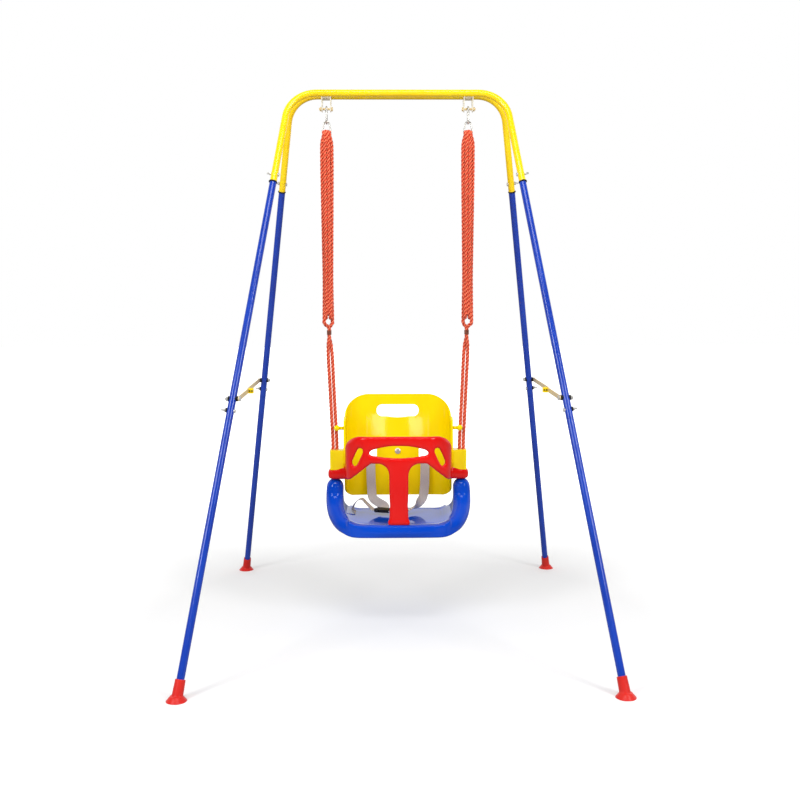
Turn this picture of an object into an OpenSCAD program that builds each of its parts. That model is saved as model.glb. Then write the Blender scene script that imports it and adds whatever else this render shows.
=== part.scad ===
// Folding indoor swing frame with a rope-hung toddler seat.
// Millimetres, +Z up, floor at z = 0, +X along the top bars, front of the seat towards -Y.

/* [Frame] */
// Height of the two top bars' axes above the floor
bar_h = 1430; // [1300:10:1560]
// Half the length of a top bar, to where its axis meets a leg's axis
bar_half = 283; // [265:1:310]
// Distance between the two top bars' axes, front to back
bar_gap = 38; // [34:1:48]
// Half the spread of the feet, side to side
foot_half_x = 500; // [440:5:560]
// Half the spread of the feet, front to back
foot_half_y = 560; // [500:5:620]
// Outside diameter of every frame tube
tube_d = 18; // [16:0.5:20]
// Wall of every frame tube
tube_wall = 1.2; // [1:0.1:1.6]
// Radius of the top tubes' bends, on the axis
bend_r = 80; // [60:1:100]
// Drop from a top bar's axis to where a leg plugs into its top tube
junction_drop = 243; // [210:1:290]
// Height of the joint between an upper and a lower leg
leg_joint_h = 600; // [560:1:612]
// Length of a drawn-in neck inside the tube above it
neck_len = 50; // [42:1:70]
// Groove that shows between two joined tubes
joint_groove = 1.4; // [0.8:0.1:2.5]

/* [Feet] */
// Height of a foot's sleeve
foot_h = 43; // [36:1:60]
// Outside diameter of a foot's sleeve at its top
foot_sleeve_d = 23.5; // [22.5:0.5:28]
// Diameter of a foot's skirt on the floor
foot_skirt_d = 48; // [40:1:60]
// Height of a foot's skirt
foot_skirt_h = 12; // [9:1:18]
// Height of a leg's end above the floor, inside its foot
leg_end_h = 9; // [7:0.5:14]

/* [Frame bolts] */
// Diameter of the bolts that hold the tubes together
tube_bolt_d = 5; // [4:0.5:6]
// Distance of a bolt above the joint that it holds
bolt_rise = 24; // [18:1:30]
// Thread that stands out past the nut
bolt_tail = 7; // [3:0.5:10]
// Diameter of a black washer
washer_d = 12; // [10:0.5:15]
// Thickness of a black washer past the tube
washer_t = 2.5; // [1.5:0.1:4]

/* [Braces] */
// Rise of the brace pivots above the leg joints
brace_rise = 50; // [45:1:70]
// Run of a front brace link from its pivot back to the knuckle
front_link = 250; // [235:1:265]
// Width of a brace link
link_w = 12; // [11:0.5:16]
// Thickness of a brace link
link_t = 2.5; // [2:0.1:3.5]
// Gap between a brace link and the leg beside it
link_off = 4; // [3:0.5:8]
// Diameter of the brace pivot bolts
pivot_d = 6; // [5:0.5:7]
// Length of a brace lock's block
lock_len = 18; // [14:1:24]
// Width of a brace lock's block, side to side
lock_w = 12.5; // [10:0.5:15]

/* [Hangers] */
// Distance of a hanger from where its bar's axis meets a leg's axis
hanger_inset = 95; // [87:1:103]
// Drop from the top bars' axes to the hanger bolts
hanger_drop = 38; // [34:1:40]
// Diameter of the hanger bolts
hanger_bolt_d = 6; // [5:0.5:7]
// Distance between a hanger's two tabs, middle to middle
tab_pitch = 23; // [20:0.5:28]
// Thickness of a tab
tab_t = 2.5; // [2:0.1:3]
// Wall of the sleeve that the rear bar turns in
sleeve_wall = 2.5; // [2:0.1:3.5]
// Wire of a carabiner
hook_wire = 5; // [4:0.5:5.5]
// Inside length of a carabiner
hook_len = 38; // [36:0.5:42]
// Inside width of a carabiner
hook_w = 12; // [11:0.5:14]
// Wire of a rope ring
ring_wire = 4; // [3:0.5:5]
// Radius of a rope ring's narrow top, on the wire's axis
ring_top_r = 7; // [6:0.5:8]
// Room between the ropes in a rope ring and the sides of its wide bottom
ring_ease = 1; // [1:0.1:3]
// Distance between the two centres of a rope ring
ring_run = 18; // [14:0.5:24]

/* [Ropes] */
// Diameter of the rope
rope_d = 8; // [7:0.5:9]
// Loops in a hank
hank_loops = 2; // [1:1:2]
// Gap between neighbouring loops at the foot of a hank
hank_room = 2.5; // [1:0.1:4]
// Height of the lowest turns of a hank
hank_low = 850; // [845:1:880]
// Distance of a seat rope pair from the inside of a seat arm
rope_inset = 22; // [20:0.5:24]
// Gap between the two strands of a pair at the seat
strand_room = 2.5; // [1.5:0.1:4]

/* [Seat] */
// Height of the seat's floor
floor_h = 297; // [290:1:304]
// Thickness of the seat base under its floor
base_t = 35; // [28:1:38]
// Rise of the rope posts' tops above the seat's floor
post_rise = 107; // [101:1:115]
// Half the inside width of the seat base
base_in_half = 151; // [146:0.5:156]
// Thickness of the seat base's arms
arm_t = 46; // [43:1:50]
// Narrowing of the arms' outer sides towards the top
arm_taper = 6; // [3:0.5:8]
// Inside corner radius of the seat base
base_in_r = 46; // [36:1:60]
// Outside corner radius of the seat base
base_out_r = 82; // [74:1:92]
// Reach of the seat base ahead of the ropes
base_front = 135; // [130:1:145]
// Reach of the seat base behind the ropes
base_rear = 125; // [120:1:140]
// Skin of the seat base
base_skin = 4; // [3:0.5:5]

/* [Backrest] */
// Gap between the backrest's wings and the seat's arms
back_gap = 2.5; // [2:0.5:4]
// Rise of the backrest's top edge above the seat's floor
back_rise = 328; // [303:1:353]
// Rise of the backrest's bottom edge above the seat's floor
back_clear = 41; // [33:1:51]
// Thickness of the backrest
back_t = 5; // [4:0.5:6]
// Distance of the backrest's panel behind the ropes
back_y = 102; // [96:1:106]
// Backward lean of the backrest
back_lean = 8; // [5:0.5:10]
// Height of the backrest's rope ears
ear_h = 54; // [46:1:56]
// Width of the handle slot
handle_w = 120; // [100:1:140]
// Height of the handle slot
handle_h = 40; // [32:1:46]

/* [Guard] */
// Rise of the guard's top edge above the rope posts
guard_rise = 127; // [116:1:141]
// Gap between the guard and the backrest's wings
guard_gap = 1.5; // [1:0.5:4]
// Distance of the guard's front behind the front of the seat base
guard_inset = 11; // [8:1:16]
// Thickness of the guard
guard_t = 10; // [8:0.5:12]
// Height of the guard's rope ears
guard_ear_h = 24; // [20:1:28]
// Half the width of the guard's stem at its waist
stem_half = 23; // [19:0.5:27]

/* [Belt] */
// Width of the belt's webbing
belt_w = 25; // [20:1:27]
// Thickness of the belt's webbing
belt_t = 1.8; // [1.2:0.1:2.4]

/* [Hidden] */
$fn = 48;

yellow = [0.99, 0.82, 0.05];
blue = [0.1, 0.3, 0.85];
red = [0.9, 0.1, 0.1];
zinc = [0.9, 0.78, 0.45];
steel = [0.75, 0.75, 0.73];
black = [0.08, 0.08, 0.08];
orange = [0.95, 0.35, 0.22];
grey = [0.62, 0.6, 0.6];

// Clearances: a fixed fit, a running fit, parts that pass each other, and a cut that runs past a face
fit = 0.05;
run_fit = 0.05;
pass = 0.4;
over = 1;

// Heights and places that follow from the sizes above
junction_h = bar_h - junction_drop;
brace_h = leg_joint_h + brace_rise;
hanger_x = bar_half - hanger_inset;
hanger_h = bar_h - hanger_drop;
hank_step = rope_d + hank_room;
strand_gap = rope_d + strand_room;
rope_x = base_in_half + rope_inset;
post_h = floor_h + post_rise;
back_half = base_in_half - back_gap;
back_top = floor_h + back_rise;
back_low = floor_h + back_clear;
guard_top = post_h + guard_rise;
guard_half = back_half - back_t - guard_gap;
guard_front = base_front - guard_inset;

// Frame geometry: tilt of a frame about its bar, splay of its legs in its own plane
frame_run = sqrt(pow(bar_h, 2) + pow(foot_half_y - bar_gap / 2, 2));
tilt = atan((foot_half_y - bar_gap / 2) / bar_h);
splay = atan((foot_half_x - bar_half) / frame_run);
leg_len = sqrt(pow(frame_run, 2) + pow(foot_half_x - bar_half, 2));
bend_run = bend_r * tan((90 - splay) / 2);
bar_straight = bar_half - bend_run;
tube_in = tube_d - 2 * tube_wall;
neck_d = tube_in - 2 * fit;
neck_in = neck_d - 2 * tube_wall;
// A point of a leg's axis at a height: distance down the leg, and its place side to side and front to back
function down_leg(h) = (bar_h - h) * leg_len / bar_h;
function leg_x(h) = bar_half + (foot_half_x - bar_half) * (bar_h - h) / bar_h;
function leg_y(h) = bar_gap / 2 + (foot_half_y - bar_gap / 2) * (bar_h - h) / bar_h;

// Brace geometry: seen from above, a brace slants from a front leg's inside to a rear leg's outside
pivot_x = leg_x(brace_h);
pivot_y = leg_y(brace_h);
link_lap = 0.8;
brace_skew = atan((tube_d + 2 * link_off - link_lap) / (2 * pivot_y));
brace_len = 2 * pivot_y / cos(brace_skew);
front_link_len = front_link / cos(brace_skew);
bolt_head_t = 0.65 * tube_bolt_d;
pivot_head_t = 3.5;
pivot_head_room = 0.6;
rivet_d = 4;

// Hanger geometry, from the bolt down to the ring's lowest wire
sleeve_d = tube_d + 2 * sleeve_wall;
hook_r = hook_w / 2 + hook_wire / 2;
hook_top = hanger_h + hanger_bolt_d / 2 + pass - hook_w / 2;
hook_low = hook_top - (hook_len - hook_w);
ring_low_r = hank_loops * rope_d / 2 + ring_wire / 2 + ring_ease;
ring_top = hook_low - hook_w / 2 + pass + ring_wire / 2 - ring_top_r;
ring_low = ring_top - ring_run;
ring_slant = asin((ring_low_r - ring_top_r) / ring_run);

// Gate of a carabiner: a bar between two stubs of the open side, on a cross pin at its upper end
gate_d = hook_wire - 0.6;
gate_pin_d = 1.5;
gate_pin_h = hook_top - 4.5;
gate_flat = 1.5;
cheek_t = 1.2;
gate_end_h = hook_low + 2.5;

// Seat geometry
base_out_half = base_in_half + arm_t;
base_low = floor_h - base_t;
nose_r = base_t / 2;
strand_in = rope_x - strand_gap / 2;
strand_out = rope_x + strand_gap / 2;
rope_bore = rope_d + 2 * pass;
guard_ear_top = post_h + guard_ear_h;
ear_top = guard_ear_top + ear_h;
turn_h = floor_h + 37;

// Vector helpers
function unit(v) = v / norm(v);
function blend(a, b, k) = a + (b - a) * k;

// Tangent of a route at point i
function heading(pts, i) =
    unit(pts[min(i + 1, len(pts) - 1)] - pts[max(i - 1, 0)]);

// Ring of points round point i of a route, its plane square to the route
function tube_ring(pts, i, d, sides, ref) =
    let (t = heading(pts, i), b = unit(cross(t, ref)), n = cross(b, t))
    [for (k = [0:sides - 1]) pts[i] + d / 2 * (cos(360 * k / sides) * n + sin(360 * k / sides) * b)];

// Tube of a diameter along a route, as triangles
module tube_along(pts, d, sides, ref) {
    last = len(pts) - 1;
    corners = [for (i = [0:last]) each tube_ring(pts, i, d, sides, ref)];
    walls = [for (i = [0:last - 1], k = [0:sides - 1])
        let (a = i * sides + k, b = i * sides + (k + 1) % sides)
        each [[a, b, a + sides], [b, b + sides, a + sides]]];
    ends = [for (k = [1:sides - 2])
        each [[0, k + 1, k], [last * sides, last * sides + k, last * sides + k + 1]]];
    polyhedron(corners, concat(walls, ends), convexity = 10);
}

// Flat webbing of a width along a route, with the direction of its width at each point
module webbing(pts, across, w, t) {
    last = len(pts) - 1;
    corners = [for (i = [0:last])
        let (a = unit(across[i]), n = unit(cross(heading(pts, i), a)))
        each [pts[i] - a * w / 2 - n * t / 2, pts[i] + a * w / 2 - n * t / 2,
              pts[i] + a * w / 2 + n * t / 2, pts[i] - a * w / 2 + n * t / 2]];
    walls = [for (i = [0:last - 1], k = [0:3])
        let (a = 4 * i + k, b = 4 * i + (k + 1) % 4)
        each [[a, a + 4, b], [b, a + 4, b + 4]]];
    ends = [[0, 1, 2], [0, 2, 3],
            [4 * last, 4 * last + 2, 4 * last + 1], [4 * last, 4 * last + 3, 4 * last + 2]];
    polyhedron(corners, concat(walls, ends), convexity = 10);
}

// A smooth route through chosen points, with steps points to each span
function smooth_point(p, i, u) =
    let (last = len(p) - 1, a = p[max(i - 1, 0)], b = p[i], c = p[i + 1], d = p[min(i + 2, last)])
    0.5 * (2 * b + (c - a) * u + (2 * a - 5 * b + 4 * c - d) * u * u + (3 * b - a - 3 * c + d) * u * u * u);
function smooth_route(p, steps) =
    concat([for (i = [0:len(p) - 2], k = [0:steps - 1]) smooth_point(p, i, k / steps)], [p[len(p) - 1]]);

// Right-hand front pieces are drawn, and the other three corners are their mirror images
module corner(side, face)
    mirror([side < 0 ? 1 : 0, 0, 0]) mirror([0, face > 0 ? 1 : 0, 0]) children();
module on_side(side) mirror([side < 0 ? 1 : 0, 0, 0]) children();

// The front frame's own plane, and the right front leg's own space with the leg running down -Z
module front_plane() translate([0, -bar_gap / 2, bar_h]) rotate([-tilt, 0, 0]) children();
module leg_space() front_plane() translate([bar_half, 0, 0]) rotate([0, -splay, 0]) children();
module leg_rod(d, from, to) translate([0, 0, -to]) cylinder(d = d, h = to - from);
module across_leg(down, d, from, to)
    translate([from, 0, -down]) rotate([0, 90, 0]) cylinder(d = d, h = to - from);

// Top tubes: one bar with a leg bent down at each end.
// A bend is a hair thicker in its wall than the straight runs, and laps them by a small angle.
bend_swell = 0.1;
bend_lap = 0.5;
module u_shape(d, bend_d, reach) {
    rotate([0, 90, 0]) cylinder(d = d, h = 2 * bar_straight, center = true);
    for (side = [-1, 1]) on_side(side) {
        translate([bar_straight, 0, -bend_r]) rotate([90, 0, 0]) rotate([0, 0, splay - bend_lap])
            rotate_extrude(angle = 90 - splay + 2 * bend_lap) translate([bend_r, 0]) circle(d = bend_d);
        translate([bar_half, 0, 0]) rotate([0, -splay, 0]) leg_rod(d, bend_run, reach);
    }
}
junction_down = down_leg(junction_h);
joint_down = down_leg(leg_joint_h);
end_down = down_leg(leg_end_h);
bolt_hole = tube_bolt_d + 2 * fit;
module top_tube(face) color(yellow) mirror([0, face > 0 ? 1 : 0, 0]) difference() {
    front_plane() u_shape(tube_d, tube_d + bend_swell, junction_down - joint_groove);
    front_plane() u_shape(tube_in, tube_in - bend_swell, junction_down);
    for (side = [-1, 1]) on_side(side) leg_space()
        across_leg(junction_down - bolt_rise, bolt_hole, -tube_d, tube_d);
}

// Legs: a tube with a drawn-in neck at its top that plugs into the tube above
module leg_tube(from, to) {
    difference() {
        union() {
            leg_rod(tube_d, from, to);
            leg_rod(neck_d, from - neck_len, from + tube_wall);
        }
        leg_rod(tube_in, from + 2 * tube_wall, to + over);
        leg_rod(neck_in, from - neck_len - over, from + 3 * tube_wall);
        across_leg(from - bolt_rise, bolt_hole, -tube_d, tube_d);
    }
}
module upper_leg(side, face) color(blue) corner(side, face) difference() {
    leg_space() leg_tube(junction_down, joint_down - joint_groove);
    leg_space() across_leg(joint_down - bolt_rise, bolt_hole, -tube_d, tube_d);
    brace_hole();
}
module lower_leg(side, face) color(blue) corner(side, face) difference() {
    leg_space() leg_tube(joint_down, end_down);
    brace_hole();
}

// Feet: a sleeve along the leg, a little wider below, on a flared skirt that lies flat on the floor
sleeve_flare = 4;
module foot_block(h) translate([leg_x(0), -leg_y(0), h])
    cube([4 * foot_skirt_d, 4 * foot_skirt_d, 2 * foot_h], center = true);
module foot(side, face) color(red) corner(side, face) difference() {
    union() {
        intersection() {
            leg_space() translate([0, 0, -leg_len - foot_sleeve_d])
                cylinder(d1 = foot_sleeve_d + sleeve_flare, d2 = foot_sleeve_d,
                         h = leg_len + foot_sleeve_d - down_leg(foot_h));
            foot_block(foot_h);
        }
        translate([leg_x(0), -leg_y(0), 0])
            cylinder(d1 = foot_skirt_d, d2 = foot_sleeve_d + sleeve_flare, h = foot_skirt_h);
    }
    leg_space() leg_rod(tube_d + 2 * fit, down_leg(foot_h) - foot_sleeve_d, end_down);
    foot_block(-foot_h);
}

// Tube bolts: a round head seated on the inner side of the tube, a hexagon nut and the thread's tail outside
module tube_bolt(down, seat) {
    head_d = 1.9 * tube_bolt_d;
    nut_t = 0.8 * tube_bolt_d;
    nut_from = tube_d / 2 + seat;
    across_leg(down, tube_bolt_d, -tube_d / 2, nut_from + nut_t + bolt_tail);
    difference() {
        across_leg(down, head_d, -tube_d / 2 - bolt_head_t, -tube_d / 4);
        leg_rod(tube_d, down - head_d, down + head_d);
    }
    translate([nut_from, 0, -down]) rotate([0, 90, 0]) cylinder(d = 1.8 * tube_bolt_d, h = nut_t, $fn = 6);
}
module yoke_bolts(face) color(steel) for (side = [-1, 1]) corner(side, face) leg_space()
    tube_bolt(junction_down - bolt_rise, 0);
module leg_bolts(face) color(steel) for (side = [-1, 1]) corner(side, face) leg_space()
    tube_bolt(joint_down - bolt_rise, washer_t);
module leg_washers(face) color(black) for (side = [-1, 1]) corner(side, face) leg_space() {
    down = joint_down - bolt_rise;
    difference() {
        across_leg(down, washer_d, tube_d / 4, tube_d / 2 + washer_t);
        leg_rod(tube_d, down - washer_d, down + washer_d);
        across_leg(down, bolt_hole, 0, tube_d);
    }
}

// Braces: pivot bolts through the legs, black spacers, two lapped links with a lock block at the knuckle.
// A front pivot's head is on the inside of its leg, and a rear pivot's on the outside.
module at_pivot() translate([pivot_x, -pivot_y, brace_h]) children();
module along_x(d, from, to) translate([from, 0, 0]) rotate([0, 90, 0]) cylinder(d = d, h = to - from);
module brace_hole() at_pivot() along_x(pivot_d + 2 * fit, -2 * tube_d, 2 * tube_d);
module head_side(face) mirror([face > 0 ? 1 : 0, 0, 0]) children();
spacer_d = 2.2 * pivot_d;
spacer_from = tube_d / 2 + link_off - pivot_head_room;
pivot_head_from = tube_d / 2 + link_off + link_t + pivot_head_room;
pivot_nut_from = tube_d / 2 + washer_t;
pivot_nut_t = 0.8 * pivot_d;
module brace_bolts(face) color(steel) for (side = [-1, 1]) corner(side, face) at_pivot() head_side(face) {
    along_x(pivot_d, -pivot_head_from - pivot_head_t, pivot_nut_from + pivot_nut_t + 2);
    along_x(2 * pivot_d, -pivot_head_from - pivot_head_t, -pivot_head_from);
    translate([pivot_nut_from, 0, 0]) rotate([0, 90, 0])
        cylinder(d = 1.8 * pivot_d, h = pivot_nut_t, $fn = 6);
}
module brace_spacers(face) color(black) for (side = [-1, 1]) corner(side, face) difference() {
    at_pivot() head_side(face) along_x(spacer_d, -spacer_from, pivot_nut_from);
    leg_space() leg_rod(tube_d, down_leg(brace_h) - tube_d, down_leg(brace_h) + tube_d);
    brace_hole();
}

// A brace's own space: +Y along the brace from the front pivot, and the front link's outer face at x = 0
module brace_space() translate([pivot_x - tube_d / 2 - link_off, -pivot_y, brace_h])
    rotate([0, 0, -brace_skew]) children();
module link_bar(length) {
    translate([0, 0, -link_w / 2]) cube([link_t, length, link_w]);
    for (y = [0, length]) translate([0, y, 0]) along_x(link_w, 0, link_t);
}
module link_bore(face) corner(1, face) at_pivot() along_x(pivot_d + 2 * run_fit, -2 * tube_d, 2 * tube_d);
module front_link(side) color(zinc) on_side(side) difference() {
    brace_space() translate([-link_t, 0, 0]) link_bar(front_link_len);
    link_bore(-1);
}
module rear_link(side) color(zinc) on_side(side) difference() {
    brace_space() translate([link_lap, brace_len, 0]) mirror([0, 1, 0]) link_bar(brace_len - front_link_len);
    link_bore(1);
}

// The lock block sits on the knuckle end of the front link, with two dark rivets along it
lock_h = link_w + 2;
lock_end = front_link_len - 3;
module lock_space() brace_space() translate([-link_t - lock_w, lock_end - lock_len, 0]) children();
module lock_rivet(d, from, to) for (k = [0.24, 0.74]) translate([k * lock_w, from, 0])
    rotate([-90, 0, 0]) cylinder(d = d, h = to - from);
module brace_lock(side) color(yellow) on_side(side) lock_space() difference() {
    translate([0, 0, -lock_h / 2]) cube([lock_w, lock_len, lock_h]);
    lock_rivet(rivet_d / 2 + 2 * fit, -over, lock_len + over);
}
module lock_rivets(side) color(black) on_side(side) lock_space() {
    lock_rivet(rivet_d / 2, 0, lock_len);
    lock_rivet(rivet_d, -1.2, 0);
}

// Hanger brackets: two tabs welded under the front bar, joined by the sleeve that the rear bar turns in
module tab_outline() {
    drop = bar_h - hanger_h;
    lobe = hanger_bolt_d / 2 + 5;
    polygon([[-bar_gap / 2 - tube_d / 6, -tube_d / 3], [-bar_gap / 4, 0], [bar_gap / 2, 0],
             [bar_gap / 2 + sleeve_d / 2 - 0.1, -1.5], [lobe, -drop], [-lobe, -drop]]);
    translate([bar_gap / 2, 0]) circle(d = sleeve_d);
    translate([0, -drop]) circle(r = lobe);
}
module bar_cut(y, d) translate([0, y, 0]) along_x(d, -4 * tab_pitch, 4 * tab_pitch);
module hanger_bracket(side) color(zinc) on_side(side) translate([hanger_x, 0, bar_h]) difference() {
    union() {
        for (t = [-1, 1]) translate([t * tab_pitch / 2 - tab_t / 2, 0, 0]) rotate([90, 0, 90])
            linear_extrude(tab_t) tab_outline();
        translate([0, bar_gap / 2, 0]) along_x(sleeve_d, -tab_pitch / 2, tab_pitch / 2);
    }
    bar_cut(-bar_gap / 2, tube_d);
    bar_cut(bar_gap / 2, tube_d + 2 * run_fit);
    translate([0, 0, hanger_h - bar_h]) bar_cut(0, hanger_bolt_d + 2 * fit);
}
hanger_seat = tab_pitch / 2 + tab_t / 2;
hanger_nut_t = 0.8 * hanger_bolt_d;
module hanger_bolts() color(steel) for (side = [-1, 1]) on_side(side) translate([hanger_x, 0, hanger_h]) {
    along_x(hanger_bolt_d, -hanger_seat, hanger_seat + hanger_nut_t + 2);
    translate([-hanger_seat - 4, 0, 0]) rotate([0, 90, 0]) cylinder(d = 1.8 * hanger_bolt_d, h = 4, $fn = 6);
}
module hanger_nuts() color(steel) for (side = [-1, 1]) on_side(side)
    translate([hanger_x, 0, hanger_h]) difference() {
    translate([hanger_seat, 0, 0]) rotate([0, 90, 0])
        cylinder(d = 1.8 * hanger_bolt_d, h = hanger_nut_t, $fn = 6);
    along_x(hanger_bolt_d + 2 * fit, 0, 4 * hanger_seat);
}

// Carabiners: a bent wire in the plane of swinging, open at the front where the gate closes it
module half_ring(r, wire, from, sweep)
    rotate([90, 0, 90]) rotate([0, 0, from])
        rotate_extrude(angle = sweep) translate([r, 0]) circle(d = wire);
module upright(y, d, from, to) translate([0, y, from]) cylinder(d = d, h = to - from);
stub_top = gate_pin_h + gate_d / 2 + pass;
module carabiner(side) color(steel) on_side(side) translate([hanger_x, 0, 0]) difference() {
    union() {
        translate([0, 0, hook_top]) half_ring(hook_r, hook_wire, 0, 180);
        translate([0, 0, hook_low]) half_ring(hook_r, hook_wire, 180, 180);
        upright(hook_r, hook_wire, hook_low, hook_top);
        upright(-hook_r, hook_wire, stub_top, hook_top);
        upright(-hook_r, hook_wire, hook_low, gate_end_h - pass);
        for (t = [-1, 1]) translate([t * (gate_flat + pass + cheek_t / 2), -hook_r, gate_pin_h + 1])
            cube([cheek_t, 0.8 * hook_wire, 8], center = true);
    }
    translate([0, -hook_r, gate_pin_h]) along_x(gate_pin_d + 2 * fit, -hook_wire, hook_wire);
}
module gate(side) color(steel) on_side(side) translate([hanger_x, -hook_r, 0]) difference() {
    union() {
        upright(0, gate_d, gate_end_h, gate_pin_h - 4);
        intersection() {
            upright(0, gate_d, gate_end_h, gate_pin_h);
            translate([0, 0, gate_pin_h]) cube([2 * gate_flat, 2 * gate_d, 20], center = true);
        }
        translate([0, 0, gate_pin_h]) along_x(gate_d, -gate_flat, gate_flat);
    }
    translate([0, 0, gate_pin_h]) along_x(gate_pin_d + 2 * run_fit, -hook_wire, hook_wire);
}
module gate_pins() color(steel) for (side = [-1, 1]) on_side(side)
    translate([hanger_x, -hook_r, gate_pin_h])
        along_x(gate_pin_d, -gate_flat - pass - cheek_t, gate_flat + pass + cheek_t);

// Rope rings: pear-shaped links that hang in the carabiners, narrow end up
module flat_arc(r, wire, from, sweep)
    rotate([90, 0, 0]) rotate([0, 0, from]) rotate_extrude(angle = sweep) translate([r, 0]) circle(d = wire);
module rope_ring(side) color(steel) on_side(side) translate([hanger_x, 0, 0]) {
    translate([0, 0, ring_top])
        flat_arc(ring_top_r, ring_wire + bend_swell, ring_slant - bend_lap,
                 180 - 2 * ring_slant + 2 * bend_lap);
    translate([0, 0, ring_low])
        flat_arc(ring_low_r, ring_wire + bend_swell, 180 - ring_slant - bend_lap,
                 180 + 2 * ring_slant + 2 * bend_lap);
    for (s = [-1, 1]) on_side(s)
        translate([ring_top_r * cos(ring_slant), 0, ring_top + ring_top_r * sin(ring_slant)])
        rotate([0, -ring_slant, 0]) translate([0, 0, -ring_run * cos(ring_slant)])
        cylinder(d = ring_wire, h = ring_run * cos(ring_slant));
}

// Hanks: the spare rope wound over the ring in long loops, as one unbroken tube that steps sideways.
// The loops lie side by side in the ring, each over its own stretch of wire, and spread further down.
ring_pitch = rope_d + 0.6;
ring_room = 1.7;
hank_r = ring_wire / 2 + rope_d / 2 + ring_room;
hank_end = hank_low - hank_r - rope_d;
hank_first = -hank_loops * hank_step / 2;
hank_runs = [0, 0.2, 0.4, 0.6, 0.8];
hank_turns = [0, 30, 60, 90, 120, 150];
function ring_place(i) = (i - (hank_loops - 1) / 2) * ring_pitch;
function wire_h(x) = ring_low - sqrt(pow(ring_low_r, 2) - pow(x, 2));
function hank_loop(i) =
    let (from = hank_first + i * hank_step, top = ring_place(i), to = from + hank_step, h = wire_h(top))
    concat(
        [for (u = hank_runs) [blend(from, top, u), hank_r, blend(hank_low, h, u)]],
        [for (a = hank_turns) [top, hank_r * cos(a), h + hank_r * sin(a)]],
        [for (u = hank_runs) [blend(top, to, u), -hank_r, blend(h, hank_low, u)]],
        i == hank_loops - 1 ? []
            : [for (a = hank_turns) [to, -hank_r * cos(a), hank_low - hank_r * sin(a)]]);
hank_route = concat(
    [[hank_first, hank_r, hank_end], [hank_first, hank_r, hank_end + rope_d]],
    [for (i = [0:hank_loops - 1]) each hank_loop(i)],
    [for (h = [hank_low, hank_end + rope_d, hank_end]) [-hank_first, -hank_r, h]]);
module rope_hank(side) color(orange) on_side(side) translate([hanger_x, 0, 0])
    tube_along(hank_route, rope_d, 6, [1, 0, 0]);
// Least gap of the hank to itself, measured on points between the rings of runs that aren't neighbours
hank_fine = [for (i = [0:len(hank_route) - 2], k = [0:3]) blend(hank_route[i], hank_route[i + 1], k / 4)];
near_skip = 14;
hank_gap = min([for (i = [0:len(hank_fine) - 1], j = [i + near_skip:1:len(hank_fine) - 1])
    norm(hank_fine[i] - hank_fine[j])]) - rope_d;
echo("least gap of a hank to itself", hank_gap);

// Seat ropes: both strands pass a clip, run down through the ears and turn round inside the rope post.
// Points of one side, from the hank's rear end down, round and up to its front end.
clip_tall = 12;
clip_h = hank_end - 33;
clip_x = hanger_x - 2;
clip_y = rope_d / 2 + 0.6;
first_end = [hanger_x + hank_first, hank_r, hank_end];
last_end = [hanger_x - hank_first, -hank_r, hank_end];
// Height drops from a hank's end, upright at first, and heights beside the clip, upright again
end_drops = [pass, rope_d / 2, rope_d];
clip_steps = [clip_tall, clip_tall / 2 + 1, -clip_tall / 2 - 1, -clip_tall];
// Below the clip the pair makes a quarter turn: share of the way down to the seat, and angle of the turn
strand_twist = [[0.08, 45], [0.16, 90], [0.45, 90], [0.72, 90], [1, 90]];
function strand_point(t, s) = [
    blend(clip_x, rope_x, t[0]) + s * strand_gap / 2 * sin(t[1]),
    -s * clip_y * cos(t[1]),
    blend(clip_h - clip_tall, ear_top + 20, t[0])];
function strand(end, s) = concat([for (d = end_drops) end - [0, 0, d]],
    [for (d = clip_steps) [clip_x, -s * clip_y, clip_h + d]], [for (t = strand_twist) strand_point(t, s)]);
function reversed(list) = [for (i = [len(list) - 1:-1:0]) list[i]];
strand_turn = concat(
    [for (h = [ear_top, guard_ear_top, post_h - 20]) [strand_in, 0, h]],
    [for (a = [0:30:180]) [rope_x - strand_gap / 2 * cos(a), 0, turn_h - strand_gap / 2 * sin(a)]],
    [for (h = [post_h - 20, guard_ear_top, ear_top]) [strand_out, 0, h]]);
seat_route = concat(smooth_route(strand(first_end, -1), 3), strand_turn,
                    reversed(smooth_route(strand(last_end, 1), 3)));
module seat_rope(side) color(orange) on_side(side) tube_along(seat_route, rope_d, 8, [0, 1, 0]);

// Rope clips: a dark steel band round both strands
clip_wall = 1.6;
module clip_outline(grow) {
    square([rope_d + 2 * grow, 2 * clip_y], center = true);
    for (s = [-1, 1]) translate([0, s * clip_y]) circle(d = rope_d + 2 * grow);
}
module rope_clip(side) color(black) on_side(side) translate([clip_x, 0, clip_h - clip_tall / 2])
    linear_extrude(clip_tall) difference() {
        clip_outline(pass + clip_wall);
        clip_outline(pass);
    }

// Seat base: a moulded trough with rope posts in its arms, hollow from below
module round_trough(half, low, r, top) {
    translate([-half, low + r]) square([2 * half, top - low - r]);
    translate([-half + r, low]) square([2 * (half - r), 2 * r]);
    for (s = [-1, 1]) translate([s * (half - r), low + r]) circle(r = r, $fn = 96);
}
// Front view of the base's outside, widest just above its round corners, drawn in by a skin
wide_h = base_low + base_out_r + 3;
module base_outside(skin) {
    half = base_out_half - skin;
    low = base_low + skin;
    r = base_out_r - skin;
    difference() {
        polygon([[-half, low], [-half, wide_h], [arm_taper - half, post_h],
                 [half - arm_taper, post_h], [half, wide_h], [half, low]]);
        for (s = [-1, 1]) mirror([s < 0 ? 1 : 0, 0]) difference() {
            translate([half - r, low - over]) square(r + over);
            translate([half - r, low + r]) circle(r = r, $fn = 96);
        }
    }
}
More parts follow.
